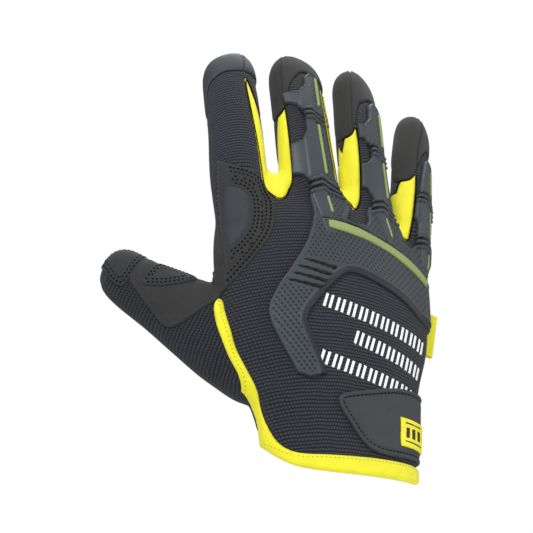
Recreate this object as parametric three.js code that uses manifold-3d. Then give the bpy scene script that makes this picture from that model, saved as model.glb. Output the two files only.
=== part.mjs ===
// Right-hand mechanic's work glove in its worn form: fingers up, thumb out to the side.
// Millimetres, +Z runs from the wrist to the fingertips and the back of the hand faces -Y.
// The origin is the middle of the wrist opening.
//
// The hand form is a palm loft joined to five limb lofts. Grown or shrunk by a distance, the same
// form bounds every layer: cloth panels lie between the form and its inner face, and the sewn-on
// pieces lie on top of it.

import * as THREE from 'three';
import { mergeVertices } from 'three/addons/utils/BufferGeometryUtils.js';
import loadManifold from 'manifold-3d';

const wasm = await loadManifold();
wasm.setup();

const KNUCKLE_WIDTH = 120;
const PALM_LENGTH = 145;
const PALM_DEPTH = 44;
const FINGER_WIDTH = 30;
const FINGER_DEPTH = 21;
const INDEX_LENGTH = 124;
const MIDDLE_LENGTH = 133;
const RING_LENGTH = 135;
const LITTLE_LENGTH = 116;
const THUMB_LENGTH = 124;

const WALL = 1.6;
const COVER = 1.2;
const GUARD = 2.4;
const SPINE = 0.8;
const STRAP = 2;
const GAP = 0.3;
const STRIPE_WIDTH = 2.2;
const RIB_WIDTH = 1.6;
const SLOT_WIDTH = 1.7;
const PALM_DOME = 4.2;
const LOOP_PLY = 1.1;
const LOOP_REACH = 9;
const LOOP_LENGTH = 24;
const LOOP_TURN = 12;
const HEM_TURN = 7;

// How far towards the palm side each plate goes, as y.
const BACK_SEAM = 1;
const WEB_SEAM = 6;
const PIPING_SIDE = -1;
const HEM_SIDE = -6;
const SADDLE_SIDE = 3;
const GUARD_SIDE = 1;
const STRAP_SIDE = 5;
const STRAP_OVERLAP = 1;
const MIDDLE = 0;
const FAR = 100;

const PALM_SIDES = 20;
const LIMB_SIDES = 10;
const LOOP_SIDES = 6;
const AXIS_STEPS = 60;
const LIMB_POWER = 2.4;
const PALM_POWER = 2.3;
const TAPER_FROM = 0.8;
const MITRE_LIMIT = 0.4;

// Blocks along a finger: sides and heights as shares of its half width and half depth.
const FAR_OUT = 2.5;
const BESIDE = 1.22;
const FINGER_BACK_FROM = 0.05;
const FINGER_BACK_TO = 1.1;
const CAP_TO = 1.12;
const BAR_CLEARANCE = 0.06;

// Where each limb's share of the back and palm panels begins, and the block that holds that share.
const PANEL_FROM = { index: 0.2, middle: 0.2, ring: 0.19, little: 0.2, thumb: 0.5 };
const PANEL_MIDDLE = 0.6;
const PANEL_SIDE = { index: 1.1, middle: 1.1, ring: 1.1, little: 1.1, thumb: 1.75 };
const PANEL_DEPTH = 1.5;

// Roots are shares of the knuckle width, palm depth and palm length. Lean is sideways and bend is
// towards the palm, in degrees at the root and the tip. Turn is how far the back of the limb faces
// the little-finger side. Seam is the height where the back ends, as a share of the half depth.
const LIMBS = {
  index: {
    length: INDEX_LENGTH, width: 0.983, depth: 1, x: -0.454, y: 0, z: 0.793,
    leanRoot: -4, leanTip: 4, bendRoot: 1, bendTip: 22, turn: -36, seam: 0.35,
  },
  middle: {
    length: MIDDLE_LENGTH, width: 1.067, depth: 1.048, x: -0.113, y: -0.159, z: 0.763,
    leanRoot: -9, leanTip: 8, bendRoot: 0, bendTip: 22, turn: 6, seam: 0,
  },
  ring: {
    length: RING_LENGTH, width: 0.967, depth: 1, x: 0.144, y: -0.114, z: 0.763,
    leanRoot: -4, leanTip: 11, bendRoot: 0, bendTip: 22, turn: 25, seam: 0,
  },
  little: {
    length: LITTLE_LENGTH, width: 0.9, depth: 0.952, x: 0.375, y: 0.091, z: 0.774,
    leanRoot: 6, leanTip: 18, bendRoot: 2, bendTip: 18, turn: 42, seam: 0,
  },
  thumb: {
    length: THUMB_LENGTH, width: 1, depth: 1.19, x: -0.142, y: -0.023, z: 0.234,
    leanRoot: -54, leanTip: -59, bendRoot: 14, bendTip: 19, turn: -30,
  },
};

// Limb sections: width and depth are shares of the limb's own width and depth. Shift moves a section
// sideways, as a share of the limb's width.
const FINGER_ROWS = [
  { along: 0, width: 0.9, depth: 1 },
  { along: 0.2, width: 1, depth: 1.04 },
  { along: 0.5, width: 1, depth: 1 },
  { along: 0.76, width: 1, depth: 0.97 },
  { along: 0.88, width: 0.96, depth: 0.9 },
  { along: 0.95, width: 0.78, depth: 0.74 },
  { along: 0.99, width: 0.42, depth: 0.4 },
];
const THUMB_ROWS = [
  { along: 0, width: 0.9, depth: 1.1, shift: 0 },
  { along: 0.2, width: 1.5, depth: 1.35, shift: 0 },
  { along: 0.38, width: 1.56, depth: 1.3, shift: 0 },
  { along: 0.55, width: 1.34, depth: 1.16, shift: -0.03 },
  { along: 0.72, width: 1.06, depth: 1, shift: -0.05 },
  { along: 0.86, width: 0.93, depth: 0.9, shift: -0.03 },
  { along: 0.94, width: 0.82, depth: 0.77, shift: 0 },
  { along: 0.98, width: 0.6, depth: 0.5, shift: 0 },
];

// Palm sections: z is a share of the palm length, x and width of the knuckle width, depth and cup of
// the palm depth. Tilt drops the section towards the little finger, in degrees.
const PALM_ROWS = [
  { z: -0.138, x: -0.008, width: 0.663, depth: 0.955, cup: 0, tilt: 0 },
  { z: 0, x: -0.008, width: 0.663, depth: 0.955, cup: 0, tilt: 0 },
  { z: 0.11, x: -0.018, width: 0.703, depth: 0.977, cup: 0, tilt: 0 },
  { z: 0.248, x: -0.042, width: 0.783, depth: 1, cup: 0.023, tilt: 0 },
  { z: 0.428, x: -0.05, width: 0.933, depth: 0.977, cup: 0.068, tilt: 0 },
  { z: 0.621, x: -0.058, width: 1.008, depth: 0.909, cup: 0.136, tilt: 3 },
  { z: 0.786, x: -0.054, width: 1.025, depth: 0.795, cup: 0.205, tilt: 6 },
  { z: 0.924, x: -0.042, width: 0.967, depth: 0.591, cup: 0.227, tilt: 10 },
  { z: 1, x: -0.033, width: 0.767, depth: 0.364, cup: 0.227, tilt: 11 },
];

// Outlines on the palm: x is a share of the knuckle width, z of the palm length.
const BACK_OUTLINE = [
  { x: -0.567, z: 0.552 }, { x: -0.563, z: 0.448 }, { x: -0.528, z: 0.379 }, { x: -0.492, z: 0.317 },
  { x: -0.425, z: 0.228 }, { x: -0.378, z: 0.155 }, { x: -0.354, z: 0.069 }, { x: -0.308, z: 0.005 },
  { x: -0.25, z: -0.03 }, { x: -0.2, z: -0.2 }, { x: 0.7, z: -0.2 }, { x: 0.7, z: 1.05 },
  { x: -0.7, z: 1.05 }, { x: -0.7, z: 0.6 },
];
const PIPING = [
  { x: -0.582, z: 0.518 }, { x: -0.573, z: 0.45 }, { x: -0.551, z: 0.386 }, { x: -0.518, z: 0.331 },
  { x: -0.451, z: 0.239 }, { x: -0.403, z: 0.19 }, { x: -0.376, z: 0.13 }, { x: -0.356, z: 0.051 },
  { x: -0.323, z: -0.003 }, { x: -0.28, z: -0.036 }, { x: -0.2, z: -0.045 }, { x: 0.45, z: -0.045 },
  { x: 0.45, z: 0.012 }, { x: 0.015, z: 0.005 }, { x: -0.123, z: 0.002 }, { x: -0.245, z: 0 },
  { x: -0.296, z: 0.013 }, { x: -0.33, z: 0.041 }, { x: -0.353, z: 0.081 }, { x: -0.385, z: 0.155 },
  { x: -0.408, z: 0.209 }, { x: -0.437, z: 0.265 }, { x: -0.473, z: 0.318 }, { x: -0.503, z: 0.377 },
  { x: -0.533, z: 0.466 }, { x: -0.547, z: 0.545 },
];
const PIPING_HEM = [
  { x: -0.262, z: -0.045 }, { x: 0.45, z: -0.045 }, { x: 0.45, z: 0.012 }, { x: 0.015, z: 0.005 },
  { x: -0.123, z: 0.002 }, { x: -0.262, z: 0.004 },
];
const PIPING_FOOT = [
  { x: -0.262, z: -0.045 }, { x: 0.45, z: -0.045 }, { x: 0.45, z: -0.038 }, { x: -0.262, z: -0.038 },
];
const HEM_CORNER = [
  { x: -0.6, z: -0.3 }, { x: -0.6, z: 0.08 }, { x: -0.37, z: 0.07 }, { x: -0.35, z: 0.034 },
  { x: -0.32, z: 0.001 }, { x: -0.277, z: -0.031 }, { x: -0.2, z: -0.04 }, { x: -0.2, z: -0.3 },
];
const SADDLE_PALM = [
  { x: -0.596, z: 1.08 }, { x: -0.535, z: 1.035 }, { x: -0.473, z: 1.014 }, { x: -0.41, z: 0.99 },
  { x: -0.385, z: 0.93 }, { x: -0.36, z: 0.9 }, { x: -0.363, z: 0.834 }, { x: -0.378, z: 0.765 },
  { x: -0.423, z: 0.698 }, { x: -0.475, z: 0.634 }, { x: -0.533, z: 0.564 }, { x: -0.551, z: 0.55 },
  { x: -0.62, z: 0.55 }, { x: -0.62, z: 0.66 }, { x: -0.556, z: 0.665 }, { x: -0.57, z: 0.72 },
  { x: -0.585, z: 0.8 }, { x: -0.592, z: 0.9 },
];
const SADDLE_PAD = [
  { x: -0.558, z: 0.933 }, { x: -0.55, z: 0.943 }, { x: -0.497, z: 0.933 }, { x: -0.469, z: 0.912 },
  { x: -0.46, z: 0.869 }, { x: -0.46, z: 0.797 }, { x: -0.483, z: 0.755 }, { x: -0.53, z: 0.706 },
  { x: -0.545, z: 0.76 }, { x: -0.555, z: 0.85 },
];
const GUARD_OUT = [
  { x: -0.2, z: 0.96 }, { x: -0.193, z: 0.89 }, { x: -0.215, z: 0.803 }, { x: -0.239, z: 0.74 },
  { x: -0.303, z: 0.641 }, { x: -0.352, z: 0.581 }, { x: -0.377, z: 0.534 }, { x: -0.399, z: 0.491 },
  { x: -0.393, z: 0.441 }, { x: -0.349, z: 0.362 }, { x: -0.322, z: 0.319 }, { x: -0.272, z: 0.25 },
  { x: -0.163, z: 0.274 }, { x: -0.19, z: 0.331 }, { x: -0.244, z: 0.439 }, { x: -0.241, z: 0.468 },
  { x: -0.197, z: 0.522 }, { x: -0.143, z: 0.579 }, { x: -0.068, z: 0.641 }, { x: -0.023, z: 0.646 },
  { x: 0.038, z: 0.637 }, { x: 0.12, z: 0.618 }, { x: 0.218, z: 0.59 }, { x: 0.287, z: 0.558 },
  { x: 0.335, z: 0.536 }, { x: 0.41, z: 0.545 }, { x: 0.47, z: 0.6 }, { x: 0.47, z: 0.72 },
  { x: 0.4, z: 0.86 }, { x: 0.366, z: 0.862 }, { x: 0.316, z: 0.819 }, { x: 0.249, z: 0.834 },
  { x: 0.2, z: 0.88 }, { x: 0.14, z: 0.95 }, { x: 0.075, z: 0.94 }, { x: 0.065, z: 0.85 },
  { x: 0.001, z: 0.844 }, { x: -0.058, z: 0.853 }, { x: -0.086, z: 0.918 }, { x: -0.1, z: 0.97 },
];
const GUARD_SLOTS = [
  { leftX: -0.263, leftZ: 0.663, rightX: -0.109, rightZ: 0.65 },
  { leftX: -0.287, leftZ: 0.637, rightX: -0.132, rightZ: 0.621 },
  { leftX: -0.308, leftZ: 0.611, rightX: -0.156, rightZ: 0.599 },
  { leftX: -0.327, leftZ: 0.587, rightX: -0.178, rightZ: 0.575 },
];
const KNUCKLE_BAR = [
  { x: -0.135, z: 0.834 }, { x: 0.004, z: 0.819 }, { x: 0.127, z: 0.792 }, { x: 0.248, z: 0.766 },
  { x: 0.342, z: 0.737 }, { x: 0.396, z: 0.723 }, { x: 0.383, z: 0.694 }, { x: 0.268, z: 0.722 },
  { x: 0.16, z: 0.756 }, { x: 0.048, z: 0.779 }, { x: -0.065, z: 0.791 }, { x: -0.135, z: 0.796 },
];
const STRAP_TAB = [
  { x: -0.102, z: 0.203 }, { x: -0.068, z: 0.213 }, { x: 0.052, z: 0.235 }, { x: 0.137, z: 0.252 },
  { x: 0.218, z: 0.26 }, { x: 0.45, z: 0.25 }, { x: 0.45, z: 0.03 }, { x: 0.198, z: 0.022 },
  { x: 0.093, z: 0.018 }, { x: 0.028, z: 0.03 }, { x: -0.008, z: 0.05 }, { x: -0.057, z: 0.101 },
  { x: -0.102, z: 0.152 }, { x: -0.116, z: 0.181 },
];
const STRAP_BAND = [
  { x: 0.08, z: 0.13 }, { x: 0.45, z: 0.09 }, { x: 0.45, z: 0.25 }, { x: 0.08, z: 0.24 },
];
const STRAP_LABEL = [
  { x: 0.168, z: 0.157 }, { x: 0.305, z: 0.155 }, { x: 0.305, z: 0.06 }, { x: 0.168, z: 0.055 },
];

// The hem from the side: level across the back of the hand, then rising round to the palm side. y is
// a share of the palm depth, z of the palm length.
const HEM_PROFILE = [
  { y: -2.05, z: -0.036 }, { y: -0.25, z: -0.036 }, { y: 0.273, z: 0.069 }, { y: 2.05, z: 0.083 },
  { y: 2.05, z: -0.41 }, { y: -2.05, z: -0.41 },
];

// The webs at the bottom of the finger gaps, and the curve of their lower edge: across is a share of
// the half width, rise of the palm length.
const WEBS = [
  { x: -0.343, halfWidth: 0.052, foot: 0.919, top: 1.1 },
  { x: 0.018, halfWidth: 0.045, foot: 0.945, top: 1.14 },
  { x: 0.308, halfWidth: 0.045, foot: 0.9, top: 1.1 },
];
const WEB_CURVE = [
  { across: -1, rise: 0.05 },
  { across: -0.6, rise: 0.015 },
  { across: 0, rise: 0 },
  { across: 0.6, rise: 0.015 },
  { across: 1, rise: 0.05 },
];

// Side panels between the fingers: edges across the finger as shares of its half width, heights as
// shares of its half depth.
const FOURCHETTES = [
  {
    lower: [
      { along: 0.2, left: 0.95, right: 1.25, low: -0.7, high: 0.9 },
      { along: 0.3, left: 0.9, right: 1.25, low: -0.5, high: 1.2 },
      { along: 0.45, left: 0.86, right: 1.25, low: -0.2, high: 1.2 },
      { along: 0.6, left: 0.74, right: 1.25, low: 0.3, high: 1.2 },
      { along: 0.71, left: 0.69, right: 1.25, low: 0.66, high: 1.2 },
    ],
    upper: [
      { along: 0.22, left: -1.5, right: -1.1, low: -0.6, high: 0.9 },
      { along: 0.3, left: -1.25, right: -0.95, low: -0.5, high: 1.2 },
      { along: 0.42, left: -1.25, right: -0.89, low: -0.4, high: 1.2 },
      { along: 0.56, left: -1.25, right: -0.9, low: -0.1, high: 1.2 },
      { along: 0.64, left: -1.25, right: -0.92, low: 0.2, high: 1.2 },
    ],
  },
  {
    lower: [
      { along: 0.22, left: 0.95, right: 1.25, low: -0.7, high: 0.9 },
      { along: 0.3, left: 0.9, right: 1.25, low: -0.5, high: 1.2 },
      { along: 0.5, left: 0.84, right: 1.25, low: -0.2, high: 1.2 },
      { along: 0.78, left: 0.78, right: 1.25, low: 0.5, high: 1.2 },
    ],
    upper: [
      { along: 0.22, left: -1.25, right: -0.9, low: -0.6, high: 1.2 },
      { along: 0.35, left: -1.25, right: -0.8, low: -0.5, high: 1.2 },
      { along: 0.5, left: -1.25, right: -0.78, low: -0.1, high: 1.2 },
      { along: 0.6, left: -1.25, right: -0.84, low: 0.3, high: 1.2 },
    ],
  },
  {
    lower: [
      { along: 0.2, left: 0.95, right: 1.25, low: -0.7, high: 0.9 },
      { along: 0.3, left: 0.9, right: 1.25, low: -0.5, high: 1.2 },
      { along: 0.5, left: 0.84, right: 1.25, low: -0.1, high: 1.2 },
      { along: 0.62, left: 0.8, right: 1.25, low: 0.4, high: 1.2 },
    ],
    upper: [
      { along: 0.17, left: -1.25, right: -0.9, low: -0.6, high: 1.2 },
      { along: 0.28, left: -1.25, right: -0.82, low: -0.5, high: 1.2 },
      { along: 0.41, left: -1.25, right: -0.76, low: -0.3, high: 1.2 },
      { along: 0.5, left: -1.25, right: -0.74, low: -0.1, high: 1.2 },
    ],
  },
];

// Fingertip coverings: the edge climbs from the thumb side of the finger over its back.
const TIP_CAPS = {
  index: [
    { along: 0.62, edge: -0.98 },
    { along: 0.74, edge: -0.8 },
    { along: 0.8, edge: -0.4 },
    { along: 0.82, edge: BESIDE },
  ],
  middle: [
    { along: 0.62, edge: -0.86 },
    { along: 0.72, edge: -0.72 },
    { along: 0.81, edge: -0.4 },
    { along: 0.85, edge: BESIDE },
  ],
  ring: [
    { along: 0.58, edge: -0.84 },
    { along: 0.66, edge: -0.74 },
    { along: 0.75, edge: -0.35 },
    { along: 0.8, edge: BESIDE },
  ],
  little: [
    { along: 0.5, edge: -0.84 },
    { along: 0.58, edge: -0.7 },
    { along: 0.71, edge: -0.3 },
    { along: 0.78, edge: BESIDE },
  ],
};

// Guard arms along the backs of three fingers, with wider wings between the flex ribs. Right is the
// middle of a stripe.
const ARMS = {
  middle: {
    edges: [
      { along: 0.04, left: -0.62, right: 0.8 },
      { along: 0.29, left: -0.44, right: 0.66 },
      { along: 0.31, left: -0.93, right: 0.93 },
      { along: 0.42, left: -0.93, right: 0.93 },
      { along: 0.45, left: -0.34, right: 0.68 },
      { along: 0.62, left: -0.34, right: 0.68 },
      { along: 0.64, left: -0.88, right: 0.88 },
      { along: 0.69, left: -0.88, right: 0.88 },
      { along: 0.71, left: -0.22, right: 0.62 },
      { along: 0.83, left: -0.13, right: 0.56 },
    ],
    spine: { from: 0.21, to: 0.81, left: -0.2, right: 0.5 },
    rib: { left: -0.4, right: 0.64, at: [0.21, 0.26, 0.555, 0.6] },
    stripes: [
      { from: 0.645, to: 0.82, right: 0.33 },
      { from: 0.3, to: 0.53, right: 0.18 },
      { from: 0.12, to: 0.185, right: 0.08 },
    ],
  },
  ring: {
    edges: [
      { along: 0.04, left: -0.8, right: 0.8 },
      { along: 0.28, left: -0.5, right: 0.62 },
      { along: 0.3, left: -0.86, right: 0.9 },
      { along: 0.38, left: -0.86, right: 0.9 },
      { along: 0.41, left: -0.4, right: 0.66 },
      { along: 0.51, left: -0.38, right: 0.66 },
      { along: 0.53, left: -0.86, right: 0.88 },
      { along: 0.58, left: -0.86, right: 0.88 },
      { along: 0.6, left: -0.36, right: 0.7 },
      { along: 0.76, left: -0.22, right: 0.66 },
    ],
    spine: { from: 0.175, to: 0.74, left: -0.3, right: 0.5 },
    rib: { left: -0.5, right: 0.64, at: [0.175, 0.225, 0.445, 0.49] },
    stripes: [
      { from: 0.53, to: 0.72, right: 0.42 },
      { from: 0.27, to: 0.425, right: 0.3 },
      { from: 0.08, to: 0.155, right: 0.08 },
    ],
  },
  little: {
    edges: [
      { along: 0.02, left: -0.72, right: 0.8 },
      { along: 0.24, left: -0.7, right: 0.7 },
      { along: 0.26, left: -0.86, right: 0.88 },
      { along: 0.34, left: -0.86, right: 0.88 },
      { along: 0.36, left: -0.68, right: 0.68 },
      { along: 0.5, left: -0.58, right: 0.66 },
      { along: 0.66, left: -0.4, right: 0.6 },
    ],
    spine: { from: 0.105, to: 0.64, left: -0.4, right: 0.46 },
    rib: { left: -0.6, right: 0.6, at: [0.105, 0.155, 0.365, 0.415] },
    stripes: [
      { from: 0.45, to: 0.62, right: 0.16 },
      { from: 0.19, to: 0.335, right: 0.16 },
      { from: 0.02, to: 0.085, right: 0.12 },
    ],
  },
};

// Leather and knit pieces of the thumb.
const SADDLE_THUMB = [
  { along: 0.47, left: 1.3, right: 3.2 },
  { along: 0.52, left: 0.57, right: 2.4 },
  { along: 0.54, left: 0.17, right: 2 },
  { along: 0.57, left: -0.45, right: 1.6 },
  { along: 0.6, left: -0.86, right: 1.5 },
  { along: 0.64, left: -0.95, right: 1.5 },
  { along: 0.73, left: -0.68, right: 1.5 },
  { along: 0.84, left: -0.3, right: 1.5 },
];
const THUMB_TIP_PATCH = [
  { along: 0.855, left: -0.27, right: 1.3 },
  { along: 0.865, left: -0.5, right: 1.3 },
  { along: 0.9, left: -0.54, right: 1.3 },
  { along: 0.94, left: -0.44, right: 1.3 },
  { along: 0.985, left: -0.2, right: 1.3 },
];
const THUMB_SIDE_PATCH = [
  { along: 0.63, left: 0.9, right: 1.02 },
  { along: 0.67, left: 0.5, right: 1.06 },
  { along: 0.72, left: 0.15, right: 1 },
  { along: 0.78, left: -0.12, right: 0.86 },
  { along: 0.81, left: -0.16, right: 0.74 },
];
const THUMB_KNIT = [
  { along: 0.05, left: -2.4, right: 1.5 },
  { along: 0.5, left: -2.4, right: 0.9 },
  { along: 0.62, left: -2, right: 0.3 },
  { along: 0.86, left: -1.8, right: 0.1 },
  { along: 0.97, left: -1.6, right: 0.1 },
];

// Foot of the pull loop, as shares of the knuckle width, palm depth and palm length.
const LOOP_AT = { x: 0.475, y: 0.1, z: 0.46 };

const KNIT = { color: 0x1c1e26, roughness: 0.9, metalness: 0 };
const SUEDE = { color: 0x34332f, roughness: 0.95, metalness: 0 };
const RUBBER = { color: 0x3e454b, roughness: 0.55, metalness: 0 };
const YELLOW = { color: 0xeee62a, roughness: 0.75, metalness: 0 };
const LIME = { color: 0x9ba55a, roughness: 0.6, metalness: 0 };

const rad = THREE.MathUtils.degToRad;
const { lerp } = THREE.MathUtils;

function solidFrom(geometry) {
  geometry.deleteAttribute('normal');
  geometry.deleteAttribute('uv');
  const merged = mergeVertices(geometry, 1e-4);
  const vertProperties = new Float32Array(merged.getAttribute('position').array);
  const triVerts = new Uint32Array(merged.getIndex().array);
  const solid = new wasm.Manifold(new wasm.Mesh({ numProp: 3, vertProperties, triVerts }));
  if (solid.volume() > 0) return solid;
  for (let i = 0; i < triVerts.length; i += 3) {
    [triVerts[i], triVerts[i + 1]] = [triVerts[i + 1], triVerts[i]];
  }
  return new wasm.Manifold(new wasm.Mesh({ numProp: 3, vertProperties, triVerts }));
}

// The bent axis of a limb, with the direction of its back and of its little-finger side at each step.
function limbAxis(limb) {
  const point = new THREE.Vector3(limb.x * KNUCKLE_WIDTH, limb.y * PALM_DEPTH, limb.z * PALM_LENGTH);
  const frames = [];
  for (let i = 0; i <= AXIS_STEPS; i += 1) {
    const t = i / AXIS_STEPS;
    const lean = rad(lerp(limb.leanRoot, limb.leanTip, t));
    const bend = rad(lerp(limb.bendRoot, limb.bendTip, t));
    const up = new THREE.Vector3(Math.sin(lean), 0, Math.cos(lean)).multiplyScalar(Math.cos(bend));
    up.y = Math.sin(bend);
    const out = new THREE.Vector3(Math.sin(rad(limb.turn)), -Math.cos(rad(limb.turn)), 0);
    out.addScaledVector(up, -out.dot(up)).normalize();
    frames.push({ point: point.clone(), up, out, right: new THREE.Vector3().crossVectors(up, out) });
    point.addScaledVector(up, limb.length / AXIS_STEPS);
  }
  return (along) => {
    const step = Math.min(Math.max(along, 0), 1) * AXIS_STEPS;
    const frame = frames[Math.round(step)];
    const rest = ((along * AXIS_STEPS - Math.round(step)) * limb.length) / AXIS_STEPS;
    return { ...frame, point: frame.point.clone().addScaledVector(frame.up, rest) };
  };
}

const rootOf = (value, power) => Math.sign(value) * Math.abs(value) ** (2 / power);

// A closed skin through a row of sections, made from a sphere whose rows become the sections.
function loft(sections, sides, power) {
  const rows = sections.length + 1;
  const geometry = new THREE.SphereGeometry(1, sides, rows);
  const uv = geometry.getAttribute('uv');
  const position = geometry.getAttribute('position');
  for (let i = 0; i < position.count; i += 1) {
    const row = Math.round((1 - uv.getY(i)) * rows);
    const section = sections[Math.min(Math.max(row - 1, 0), sections.length - 1)];
    const angle = 2 * Math.PI * uv.getX(i);
    const share = row === 0 || row === rows ? 0 : 1;
    const across = share * rootOf(Math.cos(angle), power);
    const raised = share * rootOf(Math.sin(angle), power);
    const cup = section.cup * (1 / 2 - across ** 2);
    const p = section.point.clone();
    p.addScaledVector(section.right, across * section.halfWidth);
    p.addScaledVector(section.out, raised * section.halfDepth + cup);
    if (row === rows) p.addScaledVector(section.up, section.tip);
    position.setXYZ(i, p.x, p.y, p.z);
  }
  return solidFrom(geometry);
}

function limbSolid(name, grow) {
  const limb = LIMBS[name];
  const axis = limbAxis(limb);
  const sections = (name === 'thumb' ? THUMB_ROWS : FINGER_ROWS).map((row) => {
    const { point, up, out, right } = axis(row.along);
    const slope = row.along > TAPER_FROM ? 1 - row.width : 0;
    point.addScaledVector(up, grow * slope);
    point.addScaledVector(right, (row.shift ?? 0) * limb.width * FINGER_WIDTH);
    return {
      point,
      up,
      out,
      right,
      halfWidth: (limb.width * FINGER_WIDTH * row.width) / 2 + grow,
      halfDepth: (limb.depth * FINGER_DEPTH * row.depth) / 2 + grow,
      cup: 0,
      tip: limb.length * (1 - row.along) + grow * (1 - slope),
    };
  });
  return loft(sections, LIMB_SIDES, LIMB_POWER);
}

function palmSolid(grow) {
  const sections = PALM_ROWS.map((row) => ({
    point: new THREE.Vector3(row.x * KNUCKLE_WIDTH, 0, row.z * PALM_LENGTH),
    right: new THREE.Vector3(Math.cos(rad(row.tilt)), 0, -Math.sin(rad(row.tilt))),
    out: new THREE.Vector3(0, -1, 0),
    up: new THREE.Vector3(0, 0, 1),
    halfWidth: (row.width * KNUCKLE_WIDTH) / 2 + grow,
    halfDepth: (row.depth * PALM_DEPTH) / 2 + grow,
    cup: row.cup * PALM_DEPTH,
    tip: PALM_DOME + grow,
  }));
  return loft(sections, PALM_SIDES, PALM_POWER);
}

const joined = (solids) => solids.reduce((whole, solid) => whole.add(solid));

const forms = new Map();
function form(grow) {
  if (!forms.has(grow)) {
    const limbs = Object.keys(LIMBS).map((name) => limbSolid(name, grow));
    forms.set(grow, joined([palmSolid(grow), ...limbs]));
  }
  return forms.get(grow);
}

const layer = (from, to) => form(to).subtract(form(from));

// A block that follows a limb between the edges given in the rows. It cuts or keeps part of a layer.
function block(name, rows, grow = 0) {
  const limb = LIMBS[name];
  const axis = limbAxis(limb);
  const last = rows.length - 1;
  const geometry = new THREE.BoxGeometry(1, 1, 1, 1, 1, last);
  const position = geometry.getAttribute('position');
  for (let i = 0; i < position.count; i += 1) {
    const index = Math.round((position.getZ(i) + 1 / 2) * last);
    const row = rows[index];
    const side = Math.sign(position.getX(i));
    const face = Math.sign(position.getY(i));
    const end = Math.sign(index - last / 2) * (index % last === 0 ? 1 : 0);
    const across = side < 0 ? row.left : row.right;
    const raised = face < 0 ? row.low ?? 0 : row.high ?? FAR_OUT;
    const { point, up, out, right } = axis(row.along);
    point.addScaledVector(up, end * grow);
    point.addScaledVector(right, (across * limb.width * FINGER_WIDTH) / 2 + side * grow);
    point.addScaledVector(out, (raised * limb.depth * FINGER_DEPTH) / 2 + face * grow);
    position.setXYZ(i, point.x, point.y, point.z);
  }
  return solidFrom(geometry);
}

// A prism through the palm from an outline seen from the back of the hand.
function plate(outline, from, to, grow = 0) {
  const flat = outline.map(({ x, z }) => new THREE.Vector2(x * KNUCKLE_WIDTH, z * PALM_LENGTH));
  const side = THREE.ShapeUtils.isClockWise(flat) ? -1 : 1;
  const moved = flat.map((p, i) => {
    const before = flat[(i + flat.length - 1) % flat.length];
    const after = flat[(i + 1) % flat.length];
    const a = p.clone().sub(before).normalize();
    const b = after.clone().sub(p).normalize();
    const normal = new THREE.Vector2(a.y + b.y, -a.x - b.x).normalize();
    const mitre = Math.max(MITRE_LIMIT, normal.dot(new THREE.Vector2(a.y, -a.x)));
    return p.clone().addScaledVector(normal, (side * grow) / mitre);
  });
  const settings = { depth: to - from, bevelEnabled: false, steps: 1 };
  const geometry = new THREE.ExtrudeGeometry(new THREE.Shape(moved), settings);
  geometry.rotateX(Math.PI / 2);
  geometry.translate(0, to, 0);
  return solidFrom(geometry);
}

// The largest connected part of a solid, as one closed mesh.
function pieceMesh(name, solid, look) {
  const { vertProperties, triVerts } = solid.getMesh();
  const parent = Array.from({ length: vertProperties.length / 3 }, (_, i) => i);
  const root = (i) => {
    let top = i;
    while (parent[top] !== top) {
      parent[top] = parent[parent[top]];
      top = parent[top];
    }
    return top;
  };
  for (let i = 0; i < triVerts.length; i += 3) {
    parent[root(triVerts[i])] = root(triVerts[i + 1]);
    parent[root(triVerts[i + 1])] = root(triVerts[i + 2]);
  }
  const volumes = new Map();
  const corner = [new THREE.Vector3(), new THREE.Vector3(), new THREE.Vector3()];
  for (let i = 0; i < triVerts.length; i += 3) {
    corner.forEach((c, k) => c.fromArray(vertProperties, triVerts[i + k] * 3));
    const part = root(triVerts[i]);
    const volume = corner[0].dot(corner[1].clone().cross(corner[2]));
    volumes.set(part, (volumes.get(part) ?? 0) + volume);
  }
  const largest = [...volumes].sort((a, b) => b[1] - a[1])[0][0];
  const kept = [...triVerts].filter((_, i) => root(triVerts[i - (i % 3)]) === largest);
  const order = new Map();
  const points = [];
  const index = kept.map((v) => {
    if (!order.has(v)) {
      order.set(v, order.size);
      points.push(vertProperties[v * 3], vertProperties[v * 3 + 1], vertProperties[v * 3 + 2]);
    }
    return order.get(v);
  });
  const geometry = new THREE.BufferGeometry();
  geometry.setAttribute('position', new THREE.Float32BufferAttribute(points, 3));
  geometry.setIndex(index);
  geometry.computeVertexNormals();
  const mesh = new THREE.Mesh(geometry, new THREE.MeshStandardMaterial(look));
  mesh.name = name;
  return mesh;
}

const glove = new THREE.Group();
const put = (name, solid, look) => glove.add(pieceMesh(name, solid, look));

// Everything below the hem is cut off the cloth.
const hemPoints = HEM_PROFILE.map(({ y, z }) => new THREE.Vector2(y * PALM_DEPTH, z * PALM_LENGTH));
const hemSettings = { depth: 2 * FAR, bevelEnabled: false };
const hemGeometry = new THREE.ExtrudeGeometry(new THREE.Shape(hemPoints), hemSettings);
hemGeometry.translate(0, 0, -FAR);
hemGeometry.rotateX(Math.PI / 2);
hemGeometry.rotateZ(Math.PI / 2 + rad(HEM_TURN));
const belowHem = solidFrom(hemGeometry).add(plate(HEM_CORNER, -FAR, FAR));
const cloth = layer(-WALL, 0).subtract(belowHem);

// Fingertip coverings.
const FINGER_NAMES = ['index', 'middle', 'ring', 'little'];
function capBlock(name, grow) {
  const rows = [...TIP_CAPS[name], { along: CAP_TO, edge: BESIDE }];
  const edges = { left: -BESIDE, low: -BESIDE, high: BESIDE };
  return block(name, rows.map((row) => ({ ...edges, along: row.along, right: row.edge })), grow);
}
FINGER_NAMES.forEach((name) => {
  put(`${name}_tip_cap`, cloth.intersect(capBlock(name, 0)), name === 'index' ? RUBBER : SUEDE);
});
const capsOff = joined(FINGER_NAMES.map((name) => capBlock(name, GAP)));

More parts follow.
